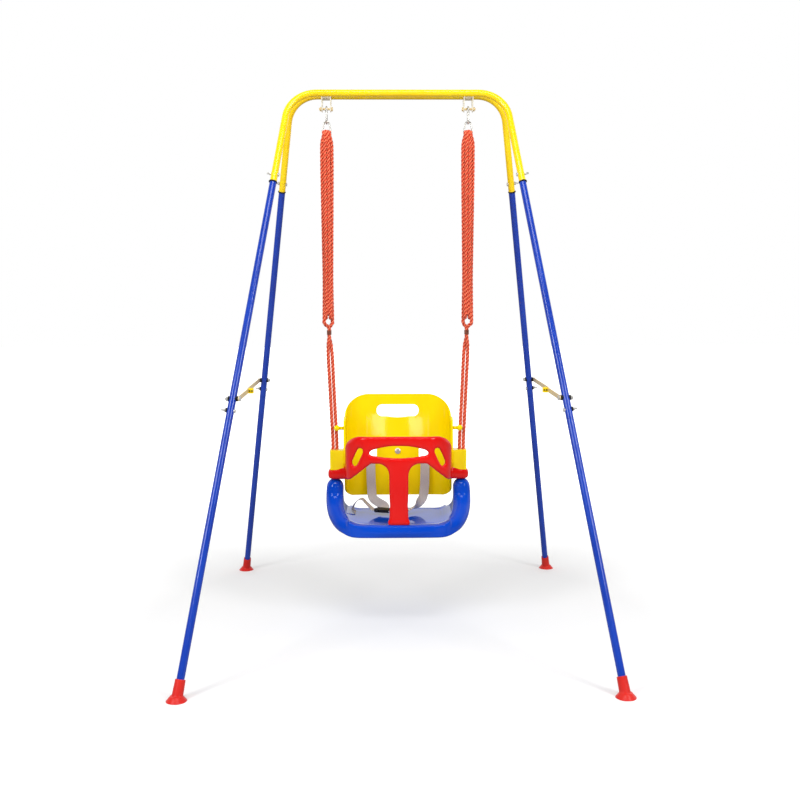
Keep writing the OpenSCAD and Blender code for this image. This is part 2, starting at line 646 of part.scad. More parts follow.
// Side view of the base: round nose, and arms that sweep up to the posts from both ends, drawn in by a skin
post_half = 26;
rim_h = floor_h + 2;
function sweep_r(run) = (pow(run, 2) + pow(post_h - rim_h, 2)) / (2 * (post_h - rim_h));
module base_side(skin) {
    nose_y = nose_r - base_front;
    translate([nose_y, base_low - over])
        square([base_rear - skin - nose_y, floor_h - skin - base_low + over]);
    for (end = [nose_y, base_rear]) difference() {
        translate([min(end, 0), base_low]) square([abs(end), post_h - skin - base_low]);
        translate([end, rim_h + sweep_r(abs(end) - post_half)])
            circle(r = sweep_r(abs(end) - post_half) + skin, $fn = 96);
    }
    if (skin == 0) translate([nose_y, floor_h - nose_r]) circle(r = nose_r);
}
module through_y(from, to) translate([0, to, 0]) rotate([90, 0, 0]) linear_extrude(to - from) children();
module through_x(half) translate([-half, 0, 0]) rotate([90, 0, 90]) linear_extrude(2 * half) children();
module post_core() for (s = [-1, 1]) translate([s * rope_x, 0, (base_low + post_h) / 2])
    cube([2 * arm_t, 2 * post_half, 2 * (post_h - base_low)], center = true);
module rope_bores(from, to) for (s = [-1, 1], x = [strand_in, strand_out])
    translate([s * x, 0, from]) cylinder(d = rope_bore, h = to - from);
module seat_base() color(blue) difference() {
    intersection() {
        through_y(-base_front, base_rear) difference() {
            base_outside(0);
            round_trough(base_in_half, floor_h, base_in_r, post_h + over);
        }
        through_x(base_out_half + over) base_side(0);
    }
    difference() {
        intersection() {
            through_y(-base_front + nose_r + base_skin, base_rear - base_skin) difference() {
                base_outside(base_skin);
                round_trough(base_in_half + base_skin, floor_h - base_skin, base_in_r + base_skin,
                             post_h + over);
            }
            through_x(base_out_half + over) base_side(base_skin);
        }
        post_core();
    }
    translate([0, (base_rear - base_front + nose_r) / 2, base_low])
        cube([2 * (base_out_half - base_out_r), base_rear + base_front - nose_r - 4 * base_skin,
              2 * base_skin + over], center = true);
    rope_bores(base_low, post_h + over);
    for (s = [-1, 1]) translate([s * rope_x, 0, turn_h / 2])
        cube([strand_gap + rope_bore, rope_bore, turn_h + rope_d], center = true);
}

// Backrest: a curved shell with wings, rope ears and pegs, a handle slot and two belt slots
back_r = 58;
ear_in = guard_half + 2;
ear_out = strand_out + rope_d / 2 + 4;
belt_slot_x = 0.51 * base_in_half;
belt_slot = [34, 36];
belt_slot_h = back_low + 118;
// Pegs: a neck and a ball beside the inner strand, flat at its tip
peg_h = back_top - 83;
peg_y = -14;
peg_x = rope_x - 6;
peg_d = 16;
peg_neck_d = 9;
peg_flat = 0.4;
module back_plan(grow) {
    half = back_half - grow;
    rear = back_y + back_t - grow;
    translate([-half, -60]) square([2 * half, rear + 60 - back_r]);
    translate([-half + back_r, -60]) square([2 * (half - back_r), rear + 60]);
    for (s = [-1, 1]) translate([s * (half - back_r), rear - back_r]) circle(r = back_r, $fn = 96);
}
module rounded(w, h, r) {
    square([w, h - 2 * r], center = true);
    square([w - 2 * r, h], center = true);
    for (x = [-1, 1], y = [-1, 1]) translate([x * (w / 2 - r), y * (h / 2 - r)]) circle(r = r);
}
back_corner = 66;
module back_front() {
    handle_y = back_top - 47;
    difference() {
        union() {
            translate([0, (back_top + back_low) / 2]) rounded(2 * back_half, back_top - back_low, 24);
            translate([0, back_top - 2 * back_corner])
                rounded(2 * back_half, 4 * back_corner - 2 * over, 24);
        }
        for (s = [-1, 1]) mirror([s < 0 ? 1 : 0, 0]) difference() {
            translate([back_half - back_corner, back_top - back_corner]) square(2 * back_corner);
            translate([back_half - back_corner, back_top - back_corner]) circle(r = back_corner, $fn = 96);
        }
        translate([0, handle_y]) rounded(handle_w, handle_h - 6, (handle_h - 6) / 2 - over);
        intersection() {
            translate([0, handle_y + 160 - handle_h / 2]) circle(r = 160, $fn = 120);
            translate([0, handle_y - handle_h / 2])
                square([handle_w - handle_h / 2, handle_h], center = true);
        }
        for (s = [-1, 1]) translate([s * belt_slot_x, belt_slot_h]) rounded(belt_slot[0], belt_slot[1], 6);
    }
}
wing_y = back_y + back_t - back_r - 10;
wing_front = -36;
wing_low = 32;
module back_side() polygon([
    [wing_front - 2, guard_ear_top], [wing_front, peg_h + 2], [wing_front + 12, peg_h + 12],
    [wing_y, back_top - back_corner], [back_y - 8, back_top + over], [back_y + 2 * back_r, back_top + over],
    [back_y + 2 * back_r, back_low - over], [wing_low + 20, back_low - over], [wing_low, back_low + 20],
    [wing_low, guard_ear_top]]);
module leaning() translate([0, back_y, guard_ear_top]) rotate([-back_lean, 0, 0])
    translate([0, -back_y, -guard_ear_top]) children();
module ear_block(from, to, half, h0, h1, r) for (s = [-1, 1])
    translate([s * (from + to) / 2, 0, h0]) linear_extrude(h1 - h0) rounded(to - from, 2 * half, r);
module backrest() color(yellow) difference() {
    union() {
        leaning() intersection() {
            translate([0, 0, back_low - back_r])
                linear_extrude(back_top - back_low + 2 * back_r) difference() {
                back_plan(0);
                back_plan(back_t);
            }
            through_y(-base_front, base_rear + back_r) back_front();
            through_x(base_out_half) back_side();
        }
        ear_block(ear_in, ear_out, 20, guard_ear_top, ear_top, 8);
        for (s = [-1, 1]) on_side(s) translate([0, peg_y, peg_h]) {
            along_x(peg_neck_d, back_half - back_t / 2, peg_x);
            translate([peg_x, 0, 0]) intersection() {
                rotate([0, 90, 0]) sphere(d = peg_d);
                along_x(2 * peg_d, -peg_d, peg_d / 2 - peg_flat);
            }
        }
    }
    rope_bores(guard_ear_top - over, ear_top + over);
}

// Guard: a bowed T-shaped bar with a window and slots, rope ears on the posts and a stem to the seat's nose
guard_corner = 46;
guard_bow = 78;
ear_half = 14;
arch_top = guard_top - 70;
arch_r = 30;
arch_in = stem_half + 2;
arch_flat = 75;
arch_foot = [guard_half - 9, post_h + 7];
module guard_plan(grow) {
    half = guard_half - grow;
    front = guard_front - grow;
    bow = guard_bow - grow;
    translate([-half, -front + bow]) square([2 * half, front - bow + ear_half]);
    intersection() {
        translate([-half, -front]) square([2 * half, front]);
        union() {
            translate([-half + bow, -front]) square([2 * (half - bow), front]);
            for (s = [-1, 1]) translate([s * (half - bow), -front + bow]) circle(r = bow, $fn = 96);
        }
    }
}
module guard_window() {
    window_high = guard_top - 23;
    window_low = guard_top - 57;
    intersection() {
        translate([0, window_high - 236]) circle(r = 236, $fn = 160);
        translate([0, window_low + 356]) circle(r = 356, $fn = 200);
        translate([0, window_low]) square([146, 100], center = true);
    }
    for (s = [-1, 1]) translate([s * 73, guard_top - 43]) circle(r = 6.2);
}
waist_r = 400;
module guard_front_view() difference() {
    union() {
        translate([-guard_half, post_h]) square([2 * guard_half, guard_top - post_h - guard_corner]);
        translate([-guard_half + guard_corner, post_h])
            square([2 * (guard_half - guard_corner), guard_top - post_h]);
        for (s = [-1, 1]) translate([s * (guard_half - guard_corner), guard_top - guard_corner])
            circle(r = guard_corner, $fn = 96);
        translate([-stem_half - 4, floor_h]) square([2 * stem_half + 8, post_h - floor_h + over]);
    }
    for (s = [-1, 1]) mirror([s < 0 ? 1 : 0, 0]) {
        translate([arch_in + arch_r, arch_top - arch_r]) circle(r = arch_r, $fn = 96);
        polygon([[arch_in, base_low], [arch_in, arch_top - arch_r], [arch_in + arch_r, arch_top],
                 [arch_flat, arch_top], arch_foot, [arch_foot[0], base_low]]);
        translate([stem_half + waist_r, (floor_h + post_h) / 2]) intersection() {
            circle(r = waist_r, $fn = 240);
            translate([-waist_r, 0]) square([60, post_h - floor_h + 2 * over], center = true);
        }
        translate([guard_half - 33, guard_top - 55]) rotate([0, 0, 25]) rounded(18, 54, 8.9);
    }
    guard_window();
}
// Side view of the guard: its arms come down from the bow to the ears
module guard_side() polygon([[-guard_front - over, floor_h - over], [-guard_front - over, guard_top + over],
    [-82, guard_top + over], [-62, guard_top - 14], [-46, guard_top - 40], [-32, guard_ear_top + 24],
    [-ear_half - 4, guard_ear_top],
    [ear_half, guard_ear_top], [ear_half, post_h], [-22, post_h], [-guard_front + 20, post_h + 10],
    [-guard_front + 20, floor_h - over]]);
module guard() color(red) difference() {
    union() {
        intersection() {
            translate([0, 0, base_low]) linear_extrude(guard_top) difference() {
                guard_plan(0);
                guard_plan(guard_t);
            }
            through_y(-base_front, base_rear) guard_front_view();
            through_x(base_out_half) guard_side();
        }
        ear_block(guard_half - guard_t, base_out_half - arm_taper - 1, 22, post_h, guard_ear_top, 14);
        translate([0, -guard_front + guard_t / 2 + 1, floor_h + 5])
            cube([2 * stem_half + 10, guard_t + 4, 10], center = true);
    }
    rope_bores(post_h - over, guard_ear_top + over);
}

// Stud: a plain button on the middle of the backrest
stud_h = back_low + 124;
stud_d = 16;
module back_stud() color(steel) leaning() translate([0, back_y, stud_h]) rotate([90, 0, 0]) {
    cylinder(d = stud_d, h = 2.5);
    translate([0, 0, 2.5]) cylinder(d1 = stud_d, d2 = 0.6 * stud_d, h = 1.5);
}

// Belt: two straps that hook over the lower edges of the backrest's slots, a loose tail and a buckle.
// Each strap's points are chosen by hand, with the direction of its width beside them.
across_x = [1, 0, 0];
strap_room = belt_t / 2 + 2 * pass;
slot_low = belt_slot_h - belt_slot[1] / 2;
// A point of the backrest's own space, after its lean
function leaned(p) = let (y = p[1] - back_y, z = p[2] - guard_ear_top)
    [p[0], back_y + y * cos(back_lean) + z * sin(back_lean),
     guard_ear_top - y * sin(back_lean) + z * cos(back_lean)];
strap_hook = [for (p = [[back_t + strap_room, -1.04 * belt_w], [back_t + strap_room, -0.24 * belt_w],
    [1.02 * back_t, 1.94 * strap_room], [-0.4 * back_t, strap_room], [-1.6 * back_t, -1.6 * back_t]])
    leaned([belt_slot_x, back_y + p[0], slot_low + p[1]])];
mirror_x = [-1, 1, 1];
function flipped(p) = [for (i = [0:2]) p[i] * mirror_x[i]];
// A point ahead of the backrest, as shares of a slot's place, the backrest's distance and a slot's height
function strap_at(p) = [belt_slot_x * p[0], back_y * p[1], blend(floor_h, slot_low, p[2])];
// The buckle lies over the seat's floor, and the straps end a hair before its rear side and its two ends
buckle = [34, 30, 10];
tongue_t = 7;
buckle_at = [-0.305 * base_in_half, 0.1 * back_y, floor_h + 1.4 * buckle[2]];
buckle_turn = -20;
strap_stop = 0.6;
function by_buckle(p) = buckle_at + [p[0] * cos(buckle_turn) - p[1] * sin(buckle_turn),
    p[0] * sin(buckle_turn) + p[1] * cos(buckle_turn), p[2]];
buckle_long = [cos(buckle_turn), sin(buckle_turn), 0];
buckle_wide = [-sin(buckle_turn), cos(buckle_turn), 0];
left_points = concat([for (p = strap_hook) flipped(p)],
    [for (p = [[0.99, 0.82, 0.71], [0.97, 0.75, 0.47], [0.91, 0.59, 0.27]]) flipped(strap_at(p))],
    [for (k = [0.64, 0.24, 0])
        by_buckle([-0.1 * belt_w, buckle[1] / 2 + strap_stop + k * belt_w, k * belt_w / 4])]);
left_across = concat([for (p = strap_hook) across_x],
    [across_x, across_x, blend(across_x, buckle_long, 0.5), buckle_long, buckle_long, buckle_long]);
right_points = concat(strap_hook,
    [for (p = [[0.99, 0.82, 0.71], [0.97, 0.75, 0.47], [0.88, 0.57, 0.26], [0.49, 0.27, 0.12]]) strap_at(p)],
    [for (k = [0.88, 0.32, 0])
        by_buckle([buckle[0] / 2 + pass + tongue_t + strap_stop + k * belt_w, 0, 0])]);
right_across = concat([for (p = strap_hook) across_x], [across_x, across_x, [1, 0.5, 0], [0.5, 1, 0.1]],
    [buckle_wide, buckle_wide, buckle_wide]);
// The tail leaves the buckle, rises in a loop and comes down inside the arm: shares of its reach and height
tail_from = by_buckle([-buckle[0] / 2 - strap_stop, 0, 0]);
tail_reach = base_in_half - 25 + tail_from[0];
tail_h = 44;
tail_points = concat([tail_from, tail_from - 0.28 * belt_w * buckle_long],
    [for (p = [[0.37, 0.68], [0.62, 1], [0.87, 0.77], [1, 0.36], [0.87, 0.11]])
        [tail_from[0] - tail_reach * p[0], 0.2 * back_y, floor_h + tail_h * p[1]]]);
tail_across = concat([buckle_wide, buckle_wide], [for (i = [0:4]) [0.2, 1, 0]]);
module belt_left() color(grey)
    webbing(smooth_route(left_points, 3), smooth_route(left_across, 3), belt_w, belt_t);
module belt_right() color(grey)
    webbing(smooth_route(right_points, 3), smooth_route(right_across, 3), belt_w, belt_t);
module belt_tail() color(grey)
    webbing(smooth_route(tail_points, 4), smooth_route(tail_across, 4), belt_w, belt_t);
module buckle_space() translate(buckle_at) rotate([0, 0, buckle_turn]) children();
module buckle_body() color(black) buckle_space() difference() {
    translate([-buckle[0] / 2, -buckle[1] / 2, -buckle[2] / 2]) cube(buckle);
    translate([0, -7, -3]) cube([buckle[0], 14, 6]);
}
module buckle_tongue() color(black) buckle_space() {
    translate([4, -6.6, -2.6]) cube([buckle[0] / 2, 13.2, 5.2]);
    translate([buckle[0] / 2 + pass, -buckle[1] / 2, -buckle[2] / 2]) cube([tongue_t, buckle[1], buckle[2]]);
}

top_tube(-1);  // front_top_tube
upper_leg(-1, -1);  // front_upper_leg_left
upper_leg(1, -1);  // front_upper_leg_right
lower_leg(-1, -1);  // front_lower_leg_left
lower_leg(1, -1);  // front_lower_leg_right
foot(-1, -1);  // front_foot_left
foot(1, -1);  // front_foot_right
yoke_bolts(-1);  // front_yoke_bolts
leg_bolts(-1);  // front_leg_bolts
leg_washers(-1);  // front_leg_washers
top_tube(1);  // rear_top_tube
upper_leg(-1, 1);  // rear_upper_leg_left
upper_leg(1, 1);  // rear_upper_leg_right
lower_leg(-1, 1);  // rear_lower_leg_left
lower_leg(1, 1);  // rear_lower_leg_right
foot(-1, 1);  // rear_foot_left
foot(1, 1);  // rear_foot_right
yoke_bolts(1);  // rear_yoke_bolts
leg_bolts(1);  // rear_leg_bolts
leg_washers(1);  // rear_leg_washers
hanger_bracket(-1);  // hanger_bracket_left
hanger_bracket(1);  // hanger_bracket_right
hanger_bolts();
hanger_nuts();
brace_bolts(-1);  // front_brace_bolts
brace_spacers(-1);  // front_brace_spacers
brace_bolts(1);  // rear_brace_bolts
brace_spacers(1);  // rear_brace_spacers
front_link(-1);  // front_link_left
front_link(1);  // front_link_right
brace_lock(-1);  // brace_lock_left
brace_lock(1);  // brace_lock_right
lock_rivets(-1);  // lock_rivets_left
lock_rivets(1);  // lock_rivets_right
rear_link(-1);  // rear_link_left
rear_link(1);  // rear_link_right
carabiner(-1);  // carabiner_left
carabiner(1);  // carabiner_right
gate(-1);  // gate_left
gate(1);  // gate_right
gate_pins();
rope_ring(-1);  // rope_ring_left
rope_ring(1);  // rope_ring_right
rope_hank(-1);  // rope_hank_left
rope_hank(1);  // rope_hank_right
seat_rope(-1);  // seat_rope_left
seat_rope(1);  // seat_rope_right
rope_clip(-1);  // rope_clip_left
rope_clip(1);  // rope_clip_right
seat_base();
backrest();
guard();
back_stud();
belt_left();
belt_right();
belt_tail();
buckle_body();
buckle_tongue();
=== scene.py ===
import math

import bpy
from mathutils import Matrix, Vector


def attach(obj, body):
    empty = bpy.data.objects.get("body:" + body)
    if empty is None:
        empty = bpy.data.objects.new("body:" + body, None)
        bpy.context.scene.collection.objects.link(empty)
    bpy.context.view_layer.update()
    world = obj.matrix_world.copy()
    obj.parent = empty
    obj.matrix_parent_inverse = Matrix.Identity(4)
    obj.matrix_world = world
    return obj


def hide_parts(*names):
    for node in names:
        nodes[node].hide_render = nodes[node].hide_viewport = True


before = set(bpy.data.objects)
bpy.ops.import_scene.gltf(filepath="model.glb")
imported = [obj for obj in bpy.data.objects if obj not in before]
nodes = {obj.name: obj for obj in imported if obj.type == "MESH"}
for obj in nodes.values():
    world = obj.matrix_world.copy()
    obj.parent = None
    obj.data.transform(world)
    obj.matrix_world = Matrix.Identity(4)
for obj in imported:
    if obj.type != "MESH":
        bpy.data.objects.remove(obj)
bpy.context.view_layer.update()        # nodes of the imported part, set in place at the origin


# Top tubes: two yellow powder-coated steel tubes, each bent down at both ends to take a leg.
# The imported shapes stay as they are and get the coat.
both_frames = ("front", "rear")
both_sides = {"left": -1, "right": 1}


def linear(hex_code):
    """Linear colour of an sRGB hex code."""
    parts = [int(hex_code[i:i + 2], 16) / 255 for i in (1, 3, 5)]
    return (*[p / 12.92 if p <= 0.04045 else ((p + 0.055) / 1.055) ** 2.4 for p in parts], 1)


def add_node(tree, kind, settings=None, links=None):
    """A shader node with its settings, on itself or on its inputs, and its incoming links."""
    node = tree.nodes.new(kind)
    for key, value in (settings or {}).items():
        if isinstance(key, str) and hasattr(node, key):
            setattr(node, key, value)
        else:
            node.inputs[key].default_value = value
    for key, source in (links or {}).items():
        tree.links.new(source, node.inputs[key])
    return node


def start_material(name, settings):
    """A new material, its node tree and its shader with those settings."""
    material = bpy.data.materials.new(name)
    material.use_nodes = True
    shader = material.node_tree.nodes["Principled BSDF"]
    for key, value in settings.items():
        shader.inputs[key].default_value = value
    return material, material.node_tree, shader


def link_tones(tree, shader, factor, dark, light, low=0.3, high=0.7):
    """Colour from dark to light as a factor goes from low to high; noise mostly stays from 0.3 to 0.7."""
    ramp = add_node(tree, "ShaderNodeValToRGB", links={"Fac": factor})
    for element, place, tone in zip(ramp.color_ramp.elements, (low, high), (dark, light)):
        element.position = place
        element.color = linear(tone)
    tree.links.new(ramp.outputs["Color"], shader.inputs["Base Color"])


def link_bump(tree, shader, height, depth, strength):
    """Bump from a height output, with its depth in metres."""
    bump = add_node(tree, "ShaderNodeBump", {"Distance": depth, "Strength": strength}, {"Height": height})
    tree.links.new(bump.outputs["Normal"], shader.inputs["Normal"])


def paint_nodes(material, names):
    """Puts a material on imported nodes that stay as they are."""
    for name in names:
        nodes[name].material_slots[0].material = material


coat_drift = 0.1111          # slow drifts of tone, 111 mm long
coat_peel = 0.002381         # orange peel 2.4 mm wide, coarser than real so that it shows
coat_peel_depth = 0.0001


def powder_coat(name, dark, light):
    """Baked powder coat: a gloss that draws thin bright lines along a tube, on faint orange peel."""
    coat, tree, shader = start_material(name, {"Roughness": 0.16, "IOR": 1.5})
    place = add_node(tree, "ShaderNodeTexCoord").outputs["Object"]
    drift = add_node(tree, "ShaderNodeTexNoise", {"Scale": 1 / coat_drift, "Detail": 2.0}, {"Vector": place})
    link_tones(tree, shader, drift.outputs["Fac"], dark, light)
    peel = add_node(tree, "ShaderNodeTexNoise", {"Scale": 1 / coat_peel, "Detail": 1.0}, {"Vector": place})
    link_bump(tree, shader, peel.outputs["Fac"], depth=coat_peel_depth, strength=0.25)
    return coat


yellow_coat = powder_coat("powder_coated_steel_yellow", "#FFD200", "#FFDE14")
paint_nodes(yellow_coat, [f + "_top_tube" for f in both_frames])


# Legs: blue powder-coated steel tubes in two lengths, the upper plugged into the yellow tube and the lower
# into the upper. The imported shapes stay, with the groove that shows at each joint.
blue_coat = powder_coat("powder_coated_steel_blue", "#0E36A4", "#1440B2")
leg_lengths = [f"{f}_{part}_leg" for f in both_frames for part in ("upper", "lower")]
paint_nodes(blue_coat, [f"{length}_{s}" for length in leg_lengths for s in both_sides])


# Feet: soft red vinyl boots with a flared skirt, pushed over the leg ends.
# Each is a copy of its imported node, remeshed and smoothed so that no edge stays sharp.
plastic_drift = 0.1429       # slow drifts of tone, 143 mm long


def moulded(name, dark, light, roughness, wave, depth):
    """Injection-moulded plastic: a slow drift of tone and a skin that waves a little, wave metres wide.
    Its mirror is weaker than bare plastic's, so that the colour stays deep."""
    plastic, tree, shader = start_material(name, {
        "Roughness": roughness, "IOR": 1.49, "Specular IOR Level": 0.3})
    place = add_node(tree, "ShaderNodeTexCoord").outputs["Object"]
    drift = add_node(tree, "ShaderNodeTexNoise", {"Scale": 1 / plastic_drift, "Detail": 2.0},
                     {"Vector": place})
    link_tones(tree, shader, drift.outputs["Fac"], dark, light)
    skin = add_node(tree, "ShaderNodeTexNoise", {"Scale": 1 / wave, "Detail": 1.0}, {"Vector": place})
    link_bump(tree, shader, skin.outputs["Fac"], depth=depth, strength=0.5)
    return plastic


def select_only(chosen):
    """Makes one object the only selected and the active one."""
    bpy.ops.object.select_all(action="DESELECT")
    chosen.select_set(True)
    bpy.context.view_layer.objects.active = chosen


def apply_modifier(target, kind, **settings):
    """Adds a modifier with those settings and applies it."""
    modifier = target.modifiers.new(kind.lower(), kind)
    for key, value in settings.items():
        setattr(modifier, key, value)
    select_only(target)
    bpy.ops.object.modifier_apply(modifier=modifier.name)


def merged_copy(node):
    """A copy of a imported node's mesh as one closed skin, at the origin."""
    made = bpy.data.objects.new(node + "_finished", nodes[node].data.copy())
    bpy.context.collection.objects.link(made)
    made.data.materials.clear()
    made.data.transform(nodes[node].matrix_world)
    select_only(made)
    bpy.ops.mesh.customdata_custom_splitnormals_clear()
    bpy.ops.object.mode_set(mode="EDIT")
    bpy.ops.mesh.select_all(action="SELECT")
    bpy.ops.mesh.remove_doubles(threshold=0.00001)
    bpy.ops.object.mode_set(mode="OBJECT")
    return made


def shade_round(made):
    """Smooth shading on every face."""
    made.data.polygons.foreach_set("use_smooth", [True] * len(made.data.polygons))


def soften(made, voxel, rounds, swell=0.0):
    """Remeshes a piece to one skin, swells it and rounds every edge, as a plastic moulding has them."""
    apply_modifier(made, "REMESH", mode="VOXEL", voxel_size=voxel)
    if swell:
        apply_modifier(made, "DISPLACE", strength=swell, mid_level=0.0)
    apply_modifier(made, "SMOOTH", factor=0.5, iterations=rounds)
    shade_round(made)


def put_in_place(made, node, body, material):
    """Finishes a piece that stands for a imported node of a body."""
    made.data.materials.clear()
    made.data.materials.append(material)
    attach(made, body)
    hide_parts(node)


# Soft vinyl: a red with a broad dull gleam and a fine grain
foot_vinyl = moulded("soft_vinyl_red", "#D0201A", "#E0342A", roughness=0.28, wave=0.0012, depth=0.00008)
foot_voxel, foot_rounds = 0.0009, 6
for f in both_frames:
    for s in both_sides:
        node = f"{f}_foot_{s}"
        boot = merged_copy(node)
        soften(boot, foot_voxel, foot_rounds)
        put_in_place(boot, node, f + "_frame", foot_vinyl)


# Collars: black nylon rings that close the lower ends of the yellow tubes round the blue legs.
# Each is one bead, drawn out along its leg.
def box_middle(node):
    """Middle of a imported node's box."""
    columns = zip(*[v.co for v in nodes[node].data.vertices])
    return Vector([(min(column) + max(column)) / 2 for column in columns])


# Black nylon: nearly black, with a satin gleam on its edges
black_nylon = moulded("black_nylon", "#0E0E0F", "#1A1A1C", roughness=0.4, wave=0.001, depth=0.00005)
collar_r, collar_bead, collar_stretch = 0.0096, 0.0014, 1.4
for f in both_frames:
    for s, flip in both_sides.items():
        leg_middle = box_middle(f"{f}_upper_leg_{s}")
        leg_way = (leg_middle - box_middle(f"{f}_lower_leg_{s}")).normalized()
        ends = [v.co.dot(leg_way) for v in nodes[f + "_top_tube"].data.vertices if v.co.x * flip > 0]
        tube_end = leg_middle + leg_way * (min(ends) - leg_middle.dot(leg_way))
        lean = leg_way.to_track_quat("Z", "Y").to_matrix().to_4x4()
        bpy.ops.object.select_all(action="DESELECT")
        bpy.ops.mesh.primitive_torus_add(major_radius=collar_r, minor_radius=collar_bead,
                                         major_segments=40, minor_segments=12)
        collar = bpy.context.object
        collar.name = f"{f}_collar_{s}"
        collar.data.transform(Matrix.Diagonal((1, 1, collar_stretch, 1)))
        collar.data.transform(Matrix.Translation(tube_end) @ lean)
        bpy.ops.object.shade_smooth()
        collar.data.materials.append(black_nylon)
        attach(collar, f + "_frame")


# Frame bolts: zinc-plated screws with round heads and hexagon nuts through the tubes, and black nylon
# washers and spacers beside them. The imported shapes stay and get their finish.
plating_cloud = 0.00625
plating_depth = 0.0001


def plated_steel(name, dark, light, roughness, metallic=1.0):
    """Plated steel with a cloudy finish, drawn 6 mm wide, coarser than real, so that it shows."""
    steel, tree, shader = start_material(name, {"Metallic": metallic, "Roughness": roughness})
    place = add_node(tree, "ShaderNodeTexCoord").outputs["Object"]
    cloud = add_node(tree, "ShaderNodeTexNoise", {"Scale": 1 / plating_cloud, "Detail": 4.0},
                     {"Vector": place})
    link_tones(tree, shader, cloud.outputs["Fac"], dark, light)
    link_bump(tree, shader, cloud.outputs["Fac"], depth=plating_depth, strength=0.3)
    return steel


# Bright zinc: pale grey, with a soft shine that never goes dark
bright_zinc = plated_steel("bright_zinc_plated_steel", "#BEBCB6", "#E2E0DA", roughness=0.32, metallic=0.6)
paint_nodes(bright_zinc, [f"{f}_{kind}_bolts" for f in both_frames for kind in ("yoke", "leg", "brace")])
paint_nodes(black_nylon, [f"{f}_{kind}" for f in both_frames for kind in ("leg_washers", "brace_spacers")])


# Braces: flat yellow-passivated steel links from leg to leg, lapped at a knuckle.
# A bright yellow moulded block with two dark rivets locks each knuckle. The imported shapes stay.

# Yellow passivation: a pale straw colour that looks more like paint than metal
yellow_zinc = plated_steel("yellow_passivated_steel", "#E6C884", "#F8E6B8", roughness=0.34, metallic=0.25)
# Polypropylene of the blocks: a plain bright yellow, half glossy
lock_plastic = moulded("polypropylene_lock_yellow", "#F2CE00", "#FFE21A", roughness=0.35, wave=0.0015,
                       depth=0.00005)
# Black oxide: a dark brownish grey with little shine
dark_steel = plated_steel("black_oxide_steel", "#2A2826", "#45423E", roughness=0.42)
paint_nodes(yellow_zinc, [f"{f}_link_{s}" for f in both_frames for s in both_sides])
paint_nodes(lock_plastic, ["brace_lock_" + s for s in both_sides])
paint_nodes(dark_steel, ["lock_rivets_" + s for s in both_sides])


# Hangers: pale plated steel tabs under the bars with a brassy cross bolt, a wire carabiner with its gate,
# a pear-shaped rope ring of bright steel, and a dark clip round the rope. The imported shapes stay.

# Pale plating: a creamy white, bright from every side
pale_zinc = plated_steel("pale_plated_steel", "#EFE6CC", "#FBF5E2", roughness=0.35, metallic=0.3)
paint_nodes(pale_zinc, ["hanger_bracket_" + s for s in both_sides])
paint_nodes(yellow_zinc, ["hanger_bolts", "hanger_nuts", "gate_pins"])
paint_nodes(bright_zinc, [f"{kind}_{s}" for kind in ("carabiner", "gate", "rope_ring") for s in both_sides])
# Dark steel of the clip, painted red-brown: the orange of the rope painted in as a reflection on it
clip_steel_painted_rope_reflection = plated_steel("clip_steel_painted_rope_reflection", "#6E3A2C", "#A8644E", roughness=0.4, metallic=0.6)
paint_nodes(clip_steel_painted_rope_reflection, ["rope_clip_" + s for s in both_sides])


# Ropes: one orange polypropylene rope to a side, three plump strands laid right-handed.
# Each comes up out of its seat post, passes the clip, is wound over the ring as a hank of spare rope
# and goes back down beside itself into the post.
def new_mesh_object(name, points, faces):
    """An object at the origin with that mesh."""
    mesh = bpy.data.meshes.new(name)
    mesh.from_pydata(points, [], faces)
    made = bpy.data.objects.new(name, mesh)
    bpy.context.collection.objects.link(made)
    return made


def metres(points):
    """Vectors in metres from points in millimetres."""
    return [Vector(p) / 1000 for p in points]


span_steps = 12


def smooth_line(points):
    """Points on the smooth line through chosen points, some to a span, with no swing past close points."""
    ends = [2 * points[0] - points[1]] + points + [2 * points[-1] - points[-2]]
    fine = []
    for p0, p1, p2, p3 in zip(ends, ends[1:], ends[2:], ends[3:]):
        t0 = 0.0
        t1 = t0 + (p1 - p0).length ** 0.5
        t2 = t1 + (p2 - p1).length ** 0.5
        t3 = t2 + (p3 - p2).length ** 0.5
        for k in range(span_steps):
            t = t1 + (t2 - t1) * k / span_steps
            a1 = p0.lerp(p1, (t - t0) / (t1 - t0))
            a2 = p1.lerp(p2, (t - t1) / (t2 - t1))
            a3 = p2.lerp(p3, (t - t2) / (t3 - t2))
            b1 = a1.lerp(a2, (t - t0) / (t2 - t0))
            b2 = a2.lerp(a3, (t - t1) / (t3 - t1))
            fine.append(b1.lerp(b2, (t - t1) / (t2 - t1)))
    fine.append(points[-1])
    return fine


def even_line(points, step):
    """Points about a step apart on a line of short straight runs."""
    reach = [0.0]
    for a, b in zip(points, points[1:]):
        reach.append(reach[-1] + (b - a).length)
    count = max(2, round(reach[-1] / step))
    line = []
    i = 0
    for k in range(count + 1):
        s = reach[-1] * k / count
        while i < len(points) - 2 and reach[i + 1] < s:
            i += 1
        line.append(points[i].lerp(points[i + 1], (s - reach[i]) / (reach[i + 1] - reach[i])))
    return line


def heading_at(line, i):
    """Direction of a line at one of its points."""
    return (line[min(i + 1, len(line) - 1)] - line[max(i - 1, 0)]).normalized()


def carried_frames(line, side):
    """Heading, side and up of each point of a line, carried along it without twist."""
    frames = []
    for i in range(len(line)):
        heading = heading_at(line, i)
        side = (side - heading * side.dot(heading)).normalized()
        frames.append((heading, side, heading.cross(side)))
    return frames


def add_map(made, name, places):
    """Gives a mesh a UV map from the places of its face corners, in order."""
    layer = made.data.uv_layers.new(name=name)
    for corner, place in enumerate(places):
        layer.data[corner].uv = place


rope_d = 0.0106
rope_strands = 3
strand_r = 0.0025
strand_turn_r = rope_d / 2 - strand_r
rope_lay = 0.032
rope_step = 0.0025
strand_sides = 8


